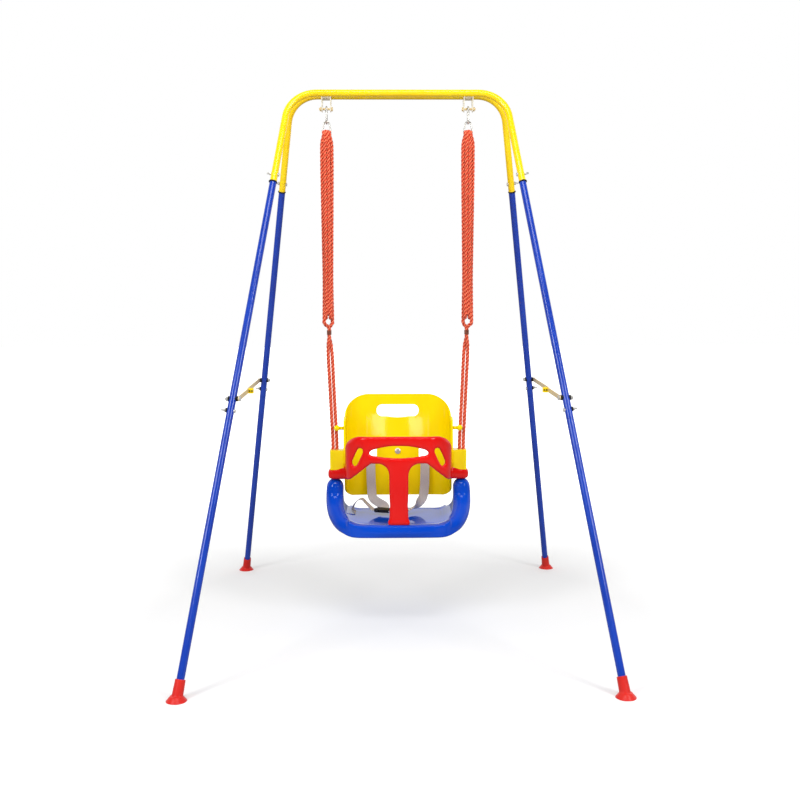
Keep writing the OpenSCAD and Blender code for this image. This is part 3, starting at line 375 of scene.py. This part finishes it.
def laid_rope(name, line):
    """Strands wound round a line as one mesh, with a map of turns round and metres along each strand."""
    frames = carried_frames(line, Vector((1, 0, 0)))
    slope = 2 * math.pi * strand_turn_r / rope_lay
    points, faces, turns = [], [], []
    for number in range(rope_strands):
        first = len(points)
        for i, (p, (heading, side, up)) in enumerate(zip(line, frames)):
            turn = 2 * math.pi * (number / rope_strands + i * rope_step / rope_lay)
            out = math.cos(turn) * side + math.sin(turn) * up
            along = (heading + heading.cross(out) * slope).normalized()
            across = along.cross(out)
            for k in range(strand_sides):
                a = 2 * math.pi * k / strand_sides
                outwards = out * (strand_turn_r + strand_r * math.cos(a))
                points.append(p + outwards + across * strand_r * math.sin(a))
        for i in range(len(line) - 1):
            for k in range(strand_sides):
                a = first + i * strand_sides + k
                b = first + i * strand_sides + (k + 1) % strand_sides
                faces.append((a, b, b + strand_sides, a + strand_sides))
                u0, u1 = k / strand_sides, (k + 1) / strand_sides
                v0, v1 = i * rope_step, (i + 1) * rope_step
                turns.extend(((u0, v0), (u1, v0), (u1, v1), (u0, v1)))
        for i in (0, len(line) - 1):
            ring = [first + i * strand_sides + k for k in range(strand_sides)]
            faces.append(ring if i else ring[::-1])
            turns.extend((0, 0) for k in ring)
    rope = new_mesh_object(name, points, faces)
    add_map(rope, "strand", turns)
    shade_round(rope)
    return rope


# Twisted polypropylene: smooth filament yarns that give a soft sheen, with fine lines along each strand, a
# painted highlight along its outermost line and painted shade in the grooves between strands. The yarns come
# out 0.3 mm apart round a strand.
yarn_slant = 0.5
yarn_scale = (18, 300, 1)
crest_edge, groove_edge = 0.03, 0.15        # shares of a turn round the strand, from its outermost line
# The first of these is a painted highlight on each strand's crest, the second the yarns' own pattern.
painted_crest_light, yarn_light = 0.7, 0.3
rope_paint, tree, shader = start_material("twisted_polypropylene_orange", {
    "Roughness": 0.55, "IOR": 1.49, "Sheen Weight": 0.25, "Sheen Roughness": 0.4})
strand_map = add_node(tree, "ShaderNodeUVMap", {"uv_map": "strand"}).outputs["UV"]
yarn_place = add_node(tree, "ShaderNodeMapping", {"Rotation": (0, 0, yarn_slant), "Scale": yarn_scale},
                      {"Vector": strand_map})
yarns = add_node(tree, "ShaderNodeTexWave", {"Scale": 1.0, "Distortion": 1.2, "Detail": 2.0},
                 {"Vector": yarn_place.outputs["Vector"]})
strand_place = add_node(tree, "ShaderNodeSeparateXYZ", links={"Vector": strand_map})
# Painted light and shade: the colour is lightest on each strand's outermost line and fades to a darker painted
# shade towards the grooves.
off_crest = add_node(tree, "ShaderNodeMath", {"operation": "PINGPONG", 1: 0.5},
                     {0: strand_place.outputs["X"]})
painted_crest_and_groove_shade = add_node(tree, "ShaderNodeMapRange",
                 {"From Min": crest_edge, "From Max": groove_edge, "To Min": painted_crest_light, "To Max": 0.0},
                 {"Value": off_crest.outputs["Value"]})
tone = add_node(tree, "ShaderNodeMath", {"operation": "MULTIPLY_ADD", 1: yarn_light},
                {0: yarns.outputs["Fac"], 2: painted_crest_and_groove_shade.outputs["Result"]})
# The dark end of this ramp is the painted groove shade as well as the yarns' darker lines; the light end is the
# painted crest highlight as well as the yarns' lighter lines.
link_tones(tree, shader, tone.outputs["Value"], "#DC3C18", "#FF8056", low=0.1, high=0.85)
link_bump(tree, shader, yarns.outputs["Fac"], depth=0.0004, strength=0.6)

# Route of the right-hand rope in millimetres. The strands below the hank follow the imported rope, and the hank
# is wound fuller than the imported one, in four loops: each comes up behind the ring, turns over its wire and
# goes down in front, and the outer loops lie over the inner ones in the ring.
hanger_x, post_x = 188, 173
strand_gap = 10.5
post_heights = (482, 428, 384, 340)
clip_x, clip_y, clip_h = 186, 4.6, 801.3
clip_rises = (12, 7, -7, -12)
twist_low = 502
strand_twist = [(0.08, 45), (0.16, 90), (0.45, 90), (0.72, 90), (1, 90)]    # share of the way down, degrees
hank_end_x, hank_end_y, hank_end = 10.5, 7.7, 834.3
hank_end_drops = (0, 8)
ring_wire_h = 1324.7
loop_turns = [(-7.2, 7.7), (-2.4, 9.2), (2.4, 9.2), (7.2, 7.7)]             # place on the wire, radius
outer_run = [(9.6, 3.6, 950), (11.8, 3.6, 1130), (13, 4, 1270), (12, 5.6, 1305)]
inner_run = [(4.4, 9.4, 950), (4.7, 9.4, 1130), (4.8, 9.2, 1270), (4.4, 8.8, 1305)]
loop_feet = [(-10.5, 850), (-6, 848), (0, 858), (6, 848), (10.5, 850)]      # place across, height
foot_y, foot_turn_y, foot_dip = 7, 4, 7


def over_wire(x, turn_r):
    """Points over the ring's wire, from behind it to its front."""
    angles = [math.radians(a) for a in range(0, 181, 30)]
    return [(x, turn_r * math.cos(a), ring_wire_h + turn_r * math.sin(a)) for a in angles]


hank = []
last_loop = len(loop_turns) - 1
for loop, (wire_x, turn_r) in enumerate(loop_turns):
    run = outer_run if loop in (0, last_loop) else inner_run
    run = [(math.copysign(x, wire_x), y, h) for x, y, h in run]
    (rear_x, rear_h), (front_x, front_h) = loop_feet[loop:loop + 2]
    hank += [(rear_x, foot_y, rear_h)] + run + over_wire(wire_x, turn_r)
    hank += [(x, -y, h) for x, y, h in run[::-1]] + [(front_x, -foot_y, front_h)]
    if loop < last_loop:
        hank += [(front_x, y, front_h - foot_dip) for y in (-foot_turn_y, foot_turn_y)]
hank = [(hanger_x + x, y, h) for x, y, h in hank]


def strand(flip):
    """One strand from below the hank through the clip and the seat's ears down into the post."""
    points = [(hanger_x - flip * hank_end_x, flip * hank_end_y, hank_end - drop) for drop in hank_end_drops]
    points += [(clip_x, flip * clip_y, clip_h + rise) for rise in clip_rises]
    twist_top = clip_h + clip_rises[-1]
    for share, degrees in strand_twist:
        turn = math.radians(degrees)
        points.append((clip_x + (post_x - clip_x) * share - flip * strand_gap / 2 * math.sin(turn),
                       flip * clip_y * math.cos(turn), twist_top + (twist_low - twist_top) * share))
    return points + [(post_x - flip * strand_gap / 2, 0, h) for h in post_heights]


rope_points = metres(strand(-1)[::-1] + hank[::-1] + strand(1))
for side_name, flip in both_sides.items():
    line = even_line(smooth_line([Vector((flip * p.x, p.y, p.z)) for p in rope_points]), rope_step)
    rope = laid_rope("rope_" + side_name, line)
    rope.data.materials.append(rope_paint)
    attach(rope, "swing")
    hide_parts("rope_hank_" + side_name, "seat_rope_" + side_name)


# Seat base: a blue polypropylene moulding, a pan with one thick round rim that runs up into a rope post on
# each side. The pan is cut from a block, the rims are swept round bars, and all is remeshed and smoothed
# into one skin.
def placed(name, add, **shape):
    """A primitive with its size and place applied to its mesh."""
    bpy.ops.object.select_all(action="DESELECT")
    add(**shape)
    bpy.ops.object.transform_apply(location=True, rotation=True, scale=True)
    bpy.context.object.name = name
    return bpy.context.object


def block(name, low, high):
    """A box between two corners in millimetres."""
    low, high = metres([low, high])
    return placed(name, bpy.ops.mesh.primitive_cube_add, size=1, location=(low + high) / 2, scale=high - low)


def rod_along_x(name, middle, half, r):
    """A cylinder along x of a half length and a radius, in millimetres."""
    return placed(name, bpy.ops.mesh.primitive_cylinder_add, vertices=128, radius=r / 1000,
                  depth=2 * half / 1000, location=Vector(middle) / 1000, rotation=(0, math.pi / 2, 0))


def ball(name, middle, radii):
    """An egg shape of three radii, in millimetres."""
    return placed(name, bpy.ops.mesh.primitive_uv_sphere_add, segments=32, ring_count=16, radius=0.001,
                  location=Vector(middle) / 1000, scale=radii)


def round_bar(name, line, radii):
    """A bar of changing radius along a line, closed at its ends."""
    sides = 24
    turns = [2 * math.pi * k / sides for k in range(sides)]
    points, faces = [], []
    for p, r, (heading, side, up) in zip(line, radii, carried_frames(line, Vector((1, 0, 0)))):
        points += [p + r * (math.cos(a) * side + math.sin(a) * up) for a in turns]
    for i in range(len(line) - 1):
        for k in range(sides):
            a = i * sides + k
            b = i * sides + (k + 1) % sides
            faces.append((a, b, b + sides, a + sides))
    faces += [list(range(sides))[::-1], list(range(len(points) - sides, len(points)))]
    return new_mesh_object(name, points, faces)


def round_edges(made, wanted, width, segments):
    """Bevels the edges whose middle and direction are wanted, by a width in millimetres."""
    select_only(made)
    bpy.context.tool_settings.mesh_select_mode = (False, True, False)
    corners = made.data.vertices
    for face in made.data.polygons:
        face.select = False
    for corner in corners:
        corner.select = False
    for edge in made.data.edges:
        a, b = (corners[i].co * 1000 for i in edge.vertices)
        edge.select = wanted((a + b) / 2, (b - a).normalized())
    bpy.ops.object.mode_set(mode="EDIT")
    bpy.ops.mesh.bevel(offset=width / 1000, segments=segments, affect="EDGES")
    bpy.ops.object.mode_set(mode="OBJECT")


def cut_away(made, cutter, operation="DIFFERENCE"):
    """Takes a cutter's shape out of a piece, or with INTERSECT what lies outside the cutter."""
    apply_modifier(made, "BOOLEAN", operation=operation, object=cutter, solver="EXACT")
    bpy.data.objects.remove(cutter)


def joined(pieces):
    """The first of some pieces, with the others joined to it."""
    bpy.ops.object.select_all(action="DESELECT")
    for piece in pieces:
        piece.select_set(True)
    bpy.context.view_layer.objects.active = pieces[0]
    bpy.ops.object.join()
    return pieces[0]


# Polypropylene from a polished mould, on the seat's three big mouldings: deep even colour, a high gloss with
# small sharp highlights, and a faint sink in the skin every 22 mm.
gloss_wave, gloss_depth = 0.022, 0.0001
blue_plastic = moulded("polypropylene_blue", "#0240BA", "#064AC8", roughness=0.06, wave=gloss_wave,
                       depth=gloss_depth)

# Sizes and places of the pan in millimetres, and how far its cutters reach past it
seat_low, seat_floor, post_top = 263, 297, 368
seat_half, seat_front, seat_rear = 193, -130, 118
belly_r, plan_r, pan_half, pan_r = 82, 105, 151, 46
below_seat, above_seat, past_seat = 200, 500, 300
lies_along = 0.9                            # cosine past which an edge counts as lying along an axis
base = block("seat_base_moulding", (-seat_half, seat_front, seat_low), (seat_half, seat_rear, post_top))
round_edges(base, lambda mid, way: abs(way.y) > lies_along and mid.z < seat_floor, belly_r, segments=24)
plan = block("round_plan", (-seat_half, seat_front, below_seat), (seat_half, seat_rear, above_seat))
round_edges(plan, lambda mid, way: abs(way.z) > lies_along, plan_r, segments=24)
cut_away(base, plan, "INTERSECT")
trough = block("trough", (-pan_half, -past_seat, seat_floor), (pan_half, past_seat, above_seat))
round_edges(trough, lambda mid, way: abs(way.y) > lies_along and mid.z < post_top, pan_r, segments=16)
cut_away(base, trough)

# Round sweeps take the sides of the pan away in front of each post and behind it
sweep_x, sweep_half, sweep_r = 197, 60, 185
sweep_places = [(-180.3, 446.1), (179.5, 449.5)]
for flip in both_sides.values():
    for sweep_y, sweep_h in sweep_places:
        cut_away(base, rod_along_x("side_sweep", (flip * sweep_x, sweep_y, sweep_h), sweep_half, sweep_r))

# The rim's line and radius from the right-hand post to the middle of the front; the rear rim is its mirror
# image, a little nearer to the posts
dome_h, dome_r = 380, 23.5
rim_half = [((post_x, -1, 382), dome_r), ((174, -4, 355), 24), ((172, -22, 328), 24), ((163, -52, 306), 23.5),
            ((145, -85, 289), 21), ((112, -108, 281), 18.5), ((60, -116, 280), 18)]
rim_middle = ((0, -117, 280), 18)
rim = rim_half + [rim_middle] + [((-x, y, h), r) for (x, y, h), r in rim_half[::-1]]
rear_share = -0.9
rim_radii = [v.x for v in smooth_line([Vector((r / 1000, k, 0)) for k, (place, r) in enumerate(rim)])]
rims = []
for share in (1, rear_share):
    rim_line = smooth_line(metres([(x, y * share, h) for (x, y, h), r in rim]))
    rims.append(round_bar("rim", rim_line, rim_radii))
domes = [ball("post_dome", (flip * post_x, 0, dome_h), (dome_r, dome_r, dome_r))
         for flip in both_sides.values()]
base = joined([base] + rims + domes)
seat_voxel, seat_rounds, seat_crease = 0.0025, 16, 50
soften(base, seat_voxel, seat_rounds)
hollow_half, hollow_front, hollow_rear, hollow_top = 100, -88, 84, 288
cut_away(base, block("hollow", (-hollow_half, hollow_front, below_seat),
                     (hollow_half, hollow_rear, hollow_top)))
select_only(base)
bpy.ops.object.shade_smooth_by_angle(angle=math.radians(seat_crease))
put_in_place(base, "seat_base", "swing", blue_plastic)


# Backrest: a glossy yellow polypropylene shell with wings, rope ears and two pegs.
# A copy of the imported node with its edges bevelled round, and the pegs' balls and necks put on.
yellow_plastic = moulded("polypropylene_yellow", "#FFDC00", "#FFE60A", roughness=0.04, wave=gloss_wave,
                         depth=gloss_depth)
shell_edge, shell_crease = 0.0018, 40

# Sizes and places of the pegs in millimetres
peg_y, peg_h = -14, 542
neck_x, neck_half, neck_r = 154, 12, 4.6
peg_x, peg_radii = 167, (7.2, 7.6, 7.6)
shell = merged_copy("backrest")
apply_modifier(shell, "BEVEL", width=shell_edge, segments=3, limit_method="ANGLE",
               angle_limit=math.radians(shell_crease))
pegs = []
for flip in both_sides.values():
    pegs.append(rod_along_x("peg_neck", (flip * neck_x, peg_y, peg_h), neck_half, neck_r))
    pegs.append(ball("peg_ball", (flip * peg_x, peg_y, peg_h), peg_radii))
shell = joined([shell] + pegs)
select_only(shell)
bpy.ops.object.shade_smooth()
apply_modifier(shell, "WEIGHTED_NORMAL", mode="FACE_AREA", weight=50)
put_in_place(shell, "backrest", "swing", yellow_plastic)


# Guard: a red polypropylene T-bar with round edges, its ears threaded on the ropes over the posts.
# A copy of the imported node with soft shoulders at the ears, remeshed, swelled and smoothed to moulded edges.
red_plastic = moulded("polypropylene_red", "#D80E0C", "#E41814", roughness=0.06, wave=gloss_wave,
                      depth=gloss_depth)
guard_voxel, guard_rounds, guard_swell = 0.0021, 42, 0.0022

# Size and place of a shoulder in millimetres
shoulder_x, shoulder_y, shoulder_h = 150, -3, 424
shoulder_radii = (23, 17, 21)
shoulders = [ball("shoulder", (flip * shoulder_x, shoulder_y, shoulder_h), shoulder_radii)
             for flip in both_sides.values()]
bar = joined([merged_copy("guard")] + shoulders)
soften(bar, guard_voxel, guard_rounds, guard_swell)
put_in_place(bar, "guard", "swing", red_plastic)


# Stud: a plain zinc-plated steel button in the middle of the backrest.
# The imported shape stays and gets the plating.
paint_nodes(bright_zinc, ["back_stud"])


# Belt: grey polypropylene webbing, two straps hooked through the backrest's slots and a loose tail in a loop.
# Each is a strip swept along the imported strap's points, given its thickness and a woven surface.
belt_w = 0.025
belt_t = 0.0018
belt_edge, belt_crease = 0.0006, 46
belt_step = 0.003
weave_columns = 12


def webbing_strip(name, points, across):
    """A woven strap along a smooth line, with a map of metres across and along it."""
    fine = smooth_line(metres(points))
    across = [Vector(way) for way in across]
    fine_across = [a.lerp(b, k / span_steps) for a, b in zip(across, across[1:]) for k in range(span_steps)]
    fine_across.append(across[-1])
    line = even_line(fine, belt_step)
    corners, faces, places = [], [], []
    for i, p in enumerate(line):
        heading = heading_at(line, i)
        nearest = min(range(len(fine)), key=lambda j: (fine[j] - p).length)
        wide = fine_across[nearest]
        wide = (wide - heading * wide.dot(heading)).normalized()
        for k in range(weave_columns + 1):
            corners.append(p + wide * belt_w * (k / weave_columns - 0.5))
    row = weave_columns + 1
    for i in range(len(line) - 1):
        for k in range(weave_columns):
            a = i * row + k
            faces.append((a, a + 1, a + row + 1, a + row))
            u0, u1 = belt_w * k / weave_columns, belt_w * (k + 1) / weave_columns
            v0, v1 = belt_step * i, belt_step * (i + 1)
            places.extend(((u0, v0), (u1, v0), (u1, v1), (u0, v1)))
    strip = new_mesh_object(name, corners, faces)
    add_map(strip, "weave", places)
    apply_modifier(strip, "SOLIDIFY", thickness=belt_t, offset=0.0)
    apply_modifier(strip, "BEVEL", width=belt_edge, segments=2, limit_method="ANGLE",
                   angle_limit=math.radians(belt_crease))
    shade_round(strip)
    return strip


# Webbing: a slanting check of picks that catch the light, 2.9 mm apart, coarser than real yarn so that they
# show. A wave texture has 10 waves to pi units at scale 1.
pick_gap = 0.002856
pick_slant = 0.6
webbing_paint, tree, shader = start_material("polypropylene_webbing_grey", {
    "Roughness": 0.6, "IOR": 1.49, "Sheen Weight": 0.3, "Sheen Roughness": 0.5})
weave_map = add_node(tree, "ShaderNodeUVMap", {"uv_map": "weave"})
pick_place = add_node(tree, "ShaderNodeMapping", {"Rotation": (0, 0, pick_slant)},
                      {"Vector": weave_map.outputs["UV"]})
picks = [add_node(tree, "ShaderNodeTexWave",
                  {"Scale": math.pi / 10 / pick_gap, "Distortion": 0.4, "bands_direction": direction},
                  {"Vector": pick_place.outputs["Vector"]})
         for direction in ("X", "Y")]
weave = add_node(tree, "ShaderNodeMath", {"operation": "MULTIPLY"},
                 {0: picks[0].outputs["Fac"], 1: picks[1].outputs["Fac"]})
link_tones(tree, shader, weave.outputs["Value"], "#A8A4A6", "#DAD6D6", low=0.0, high=0.7)
link_bump(tree, shader, weave.outputs["Value"], depth=0.0005, strength=0.7)

# Points of the straps in millimetres, and the direction of their width at each point
strap_hook = [(77, 106.2, 411.3), (77, 109, 431.1), (77, 108.6, 440.5), (77, 101.4, 439.9), (77, 94.2, 431.3),
              (76.2, 83.6, 397.1), (74.7, 76.5, 363.3)]
left_end = [(-70.1, 60.2, 335.1), (-37.6, 40.8, 315), (-41, 31.4, 312.5), (-43.1, 25.7, 311)]
right_end = [(67.8, 58.1, 333.7), (37.7, 27.5, 313.9), (-1.9, -5.9, 311), (-15.1, -1.1, 311),
             (-22.6, 1.7, 311)]
tail = [(-62.6, 16.2, 311), (-69.2, 18.6, 311), (-86.1, 20.4, 326.9), (-101.9, 20.4, 341),
        (-117.8, 20.4, 330.9), (-126, 20.4, 312.8), (-117.8, 20.4, 301.8)]
hook_across = [(1, 0, 0)] * len(strap_hook)
along_buckle, across_buckle = (0.94, -0.342, 0), (0.342, 0.94, 0)
straps = {
    "belt_left": ([(-x, y, h) for x, y, h in strap_hook] + left_end,
                  hook_across + [(0.97, -0.17, 0)] + [along_buckle] * 3),
    "belt_right": (strap_hook + right_end,
                   hook_across + [(1, 0.5, 0), (0.5, 1, 0.1)] + [across_buckle] * 3),
    "belt_tail": (tail, [across_buckle] * 2 + [(0.2, 1, 0)] * 5)}
for node, (points, across) in straps.items():
    strap = webbing_strip(node + "_webbing", points, across)
    put_in_place(strap, node, "swing", webbing_paint)


# Buckle: a black nylon side-release buckle on the seat's floor at the strap ends.
# Its body shows the two prongs of the tongue in side windows, and both halves have a slot for webbing.
# It is cut from bevelled blocks in its own place, in millimetres, and then turned and moved to the straps.
buckle_place = Matrix.Translation((-0.04606, 0.0102, 0.311)) @ Matrix.Rotation(math.radians(-20), 4, "Z")
half_long, half_wide, half_thick = 17, 15, 5
tongue_from, tongue_to = 17.4, 24.4
tail_slot, strap_slot = (-14, -10.5), (20.5, 22.6)
slot_half, through = 12.7, 9
dip_low, dip_high = (-6, -8, 4), (11, 8, 9)
window_along, window_out, window_half = (-5, 10), (10, 30), 2.8
prong_along, prong_out, prong_half = (-3, 18), (10.4, 14), 2.4
body_round, tongue_round, prong_round, round_steps = 2.2, 2, 1.6, 3
buckle_crease = 35


def webbing_slot(name, along):
    """A cutter for a slot across the buckle, between two places along it."""
    return block(name, (along[0], -slot_half, -through), (along[1], slot_half, through))


def side_block(name, flip, along, out, half):
    """A box on one side of the buckle, between two places along it and two out from its middle."""
    low, high = sorted(flip * place for place in out)
    return block(name, (along[0], low, -half), (along[1], high, half))


body = block("buckle_body_moulding", (-half_long, -half_wide, -half_thick),
             (half_long, half_wide, half_thick))
round_edges(body, lambda mid, way: True, body_round, round_steps)
cut_away(body, webbing_slot("tail_slot", tail_slot))
cut_away(body, block("thumb_dip", dip_low, dip_high))
for flip in both_sides.values():
    cut_away(body, side_block("side_window", flip, window_along, window_out, window_half))
tongue = block("buckle_tongue_moulding", (tongue_from, -half_wide, -half_thick),
               (tongue_to, half_wide, half_thick))
round_edges(tongue, lambda mid, way: True, tongue_round, round_steps)
cut_away(tongue, webbing_slot("strap_slot", strap_slot))
prongs = []
for flip in both_sides.values():
    prong = side_block("prong", flip, prong_along, prong_out, prong_half)
    round_edges(prong, lambda mid, way: abs(way.z) > lies_along and mid.x < 0, prong_round, round_steps)
    prongs.append(prong)
tongue = joined([tongue] + prongs)
for made, node in ((body, "buckle_body"), (tongue, "buckle_tongue")):
    made.data.transform(buckle_place)
    select_only(made)
    bpy.ops.object.shade_smooth_by_angle(angle=math.radians(buckle_crease))
    put_in_place(made, node, "swing", black_nylon)


# Stage: a matt pale floor that fades to white far away, a softbox to each side, a long one above and two
# small windows beside the camera. The room is white to the camera and dim in front in reflections, so that
# the plastics keep their deep colours.
fade_from, fade_to, near_glow = 0.7, 2.6, 0.06
bpy.ops.mesh.primitive_plane_add(size=40)
floor = bpy.context.object
floor.name = "studio_floor"
floor_paint, tree, shader = start_material("pale_studio_floor", {
    "Roughness": 0.9, "Emission Color": linear("#FFFFFF")})
place = add_node(tree, "ShaderNodeTexCoord")
rays = add_node(tree, "ShaderNodeLightPath")
far = add_node(tree, "ShaderNodeVectorMath", {"operation": "LENGTH"}, {0: place.outputs["Object"]})
fade = add_node(tree, "ShaderNodeMapRange",
                {"From Min": fade_from, "From Max": fade_to, "To Min": near_glow, "To Max": 1.0},
                {"Value": far.outputs["Value"]})
glow = add_node(tree, "ShaderNodeMath", {"operation": "MULTIPLY"},
                {0: fade.outputs["Result"], 1: rays.outputs["Is Camera Ray"]})
tree.links.new(glow.outputs["Value"], shader.inputs["Emission Strength"])
link_tones(tree, shader, rays.outputs["Is Camera Ray"], "#B4B4B4", "#F2F2F2", low=0.0, high=1.0)
floor.data.materials.append(floor_paint)


def area_light(name, wide, tall, energy, place, aim):
    """A rectangular lamp that faces a point."""
    lamp_data = bpy.data.lights.new(name, "AREA")
    lamp_data.shape = "RECTANGLE"
    lamp_data.size = wide
    lamp_data.size_y = tall
    lamp_data.energy = energy
    lamp = bpy.data.objects.new(name, lamp_data)
    bpy.context.collection.objects.link(lamp)
    lamp.location = place
    lamp.rotation_euler = (Vector(aim) - lamp.location).to_track_quat("-Z", "Y").to_euler()


frame_aim, seat_aim, bar_aim = (0, 0, 0.7), (0, 0.1, 0.53), (0, 0, 1.3)
softbox_x, window_x, window_shift = 2.1, 0.105, 0.033
for flip in both_sides.values():
    area_light("softbox", wide=0.8, tall=1.2, energy=40, place=(flip * softbox_x, -2.3, 2.0), aim=frame_aim)
    area_light("window", wide=0.075, tall=0.12, energy=0.18,
               place=(flip * window_x + window_shift, -2.8, 1.01), aim=seat_aim)
area_light("top_softbox", wide=1.6, tall=0.6, energy=18, place=(0, -1.7, 2.7), aim=bar_aim)

room_light, front_dim = 0.66, 0.12
dim_until, bright_from = -0.1, 0.4          # how far a reflection looks to the rear, from -1 to 1
world = bpy.data.worlds.new("white_room")
bpy.context.scene.world = world
world.use_nodes = True
tree = world.node_tree
rays = add_node(tree, "ShaderNodeLightPath")
seen = add_node(tree, "ShaderNodeMath", {"operation": "MAXIMUM"},
                {0: rays.outputs["Is Camera Ray"], 1: rays.outputs["Is Transmission Ray"]})
place = add_node(tree, "ShaderNodeTexCoord")
way = add_node(tree, "ShaderNodeSeparateXYZ", links={"Vector": place.outputs["Generated"]})
backdrop = add_node(tree, "ShaderNodeMapRange",
                    {"From Min": dim_until, "From Max": bright_from, "To Min": front_dim, "To Max": 1.0},
                    {"Value": way.outputs["Y"]})
room = add_node(tree, "ShaderNodeMapRange", {"To Min": room_light},
                {"Value": rays.outputs["Is Glossy Ray"], "To Max": backdrop.outputs["Result"]})
room_seen = add_node(tree, "ShaderNodeMapRange", {"To Max": 1.0},
                     {"Value": seen.outputs["Value"], "To Min": room.outputs["Result"]})
background = tree.nodes["Background"]
background.inputs["Color"].default_value = linear("#FFFFFF")
tree.links.new(room_seen.outputs["Result"], background.inputs["Strength"])
bpy.context.scene.view_settings.view_transform = "Standard"


# Camera: a plain front view from chest height, a little left of the middle and turned a little to the right.
# The lens and the place put the four feet, the legs and the top bars where the photograph has them.
camera_place = Vector((-0.033, -2.714, 0.865))
camera_turn = math.radians(0.806)
camera_dip = math.radians(5.223)
camera_roll = math.radians(-0.135)
camera_data = bpy.data.cameras.new("studio_camera")
camera_data.lens = 45
camera_data.sensor_width = 36
camera = bpy.data.objects.new("studio_camera", camera_data)
bpy.context.collection.objects.link(camera)
camera.matrix_world = (Matrix.Translation(camera_place) @ Matrix.Rotation(-camera_turn, 4, "Z")
                       @ Matrix.Rotation(math.pi / 2 - camera_dip, 4, "X")
                       @ Matrix.Rotation(camera_roll, 4, "Z"))
bpy.context.scene.camera = camera
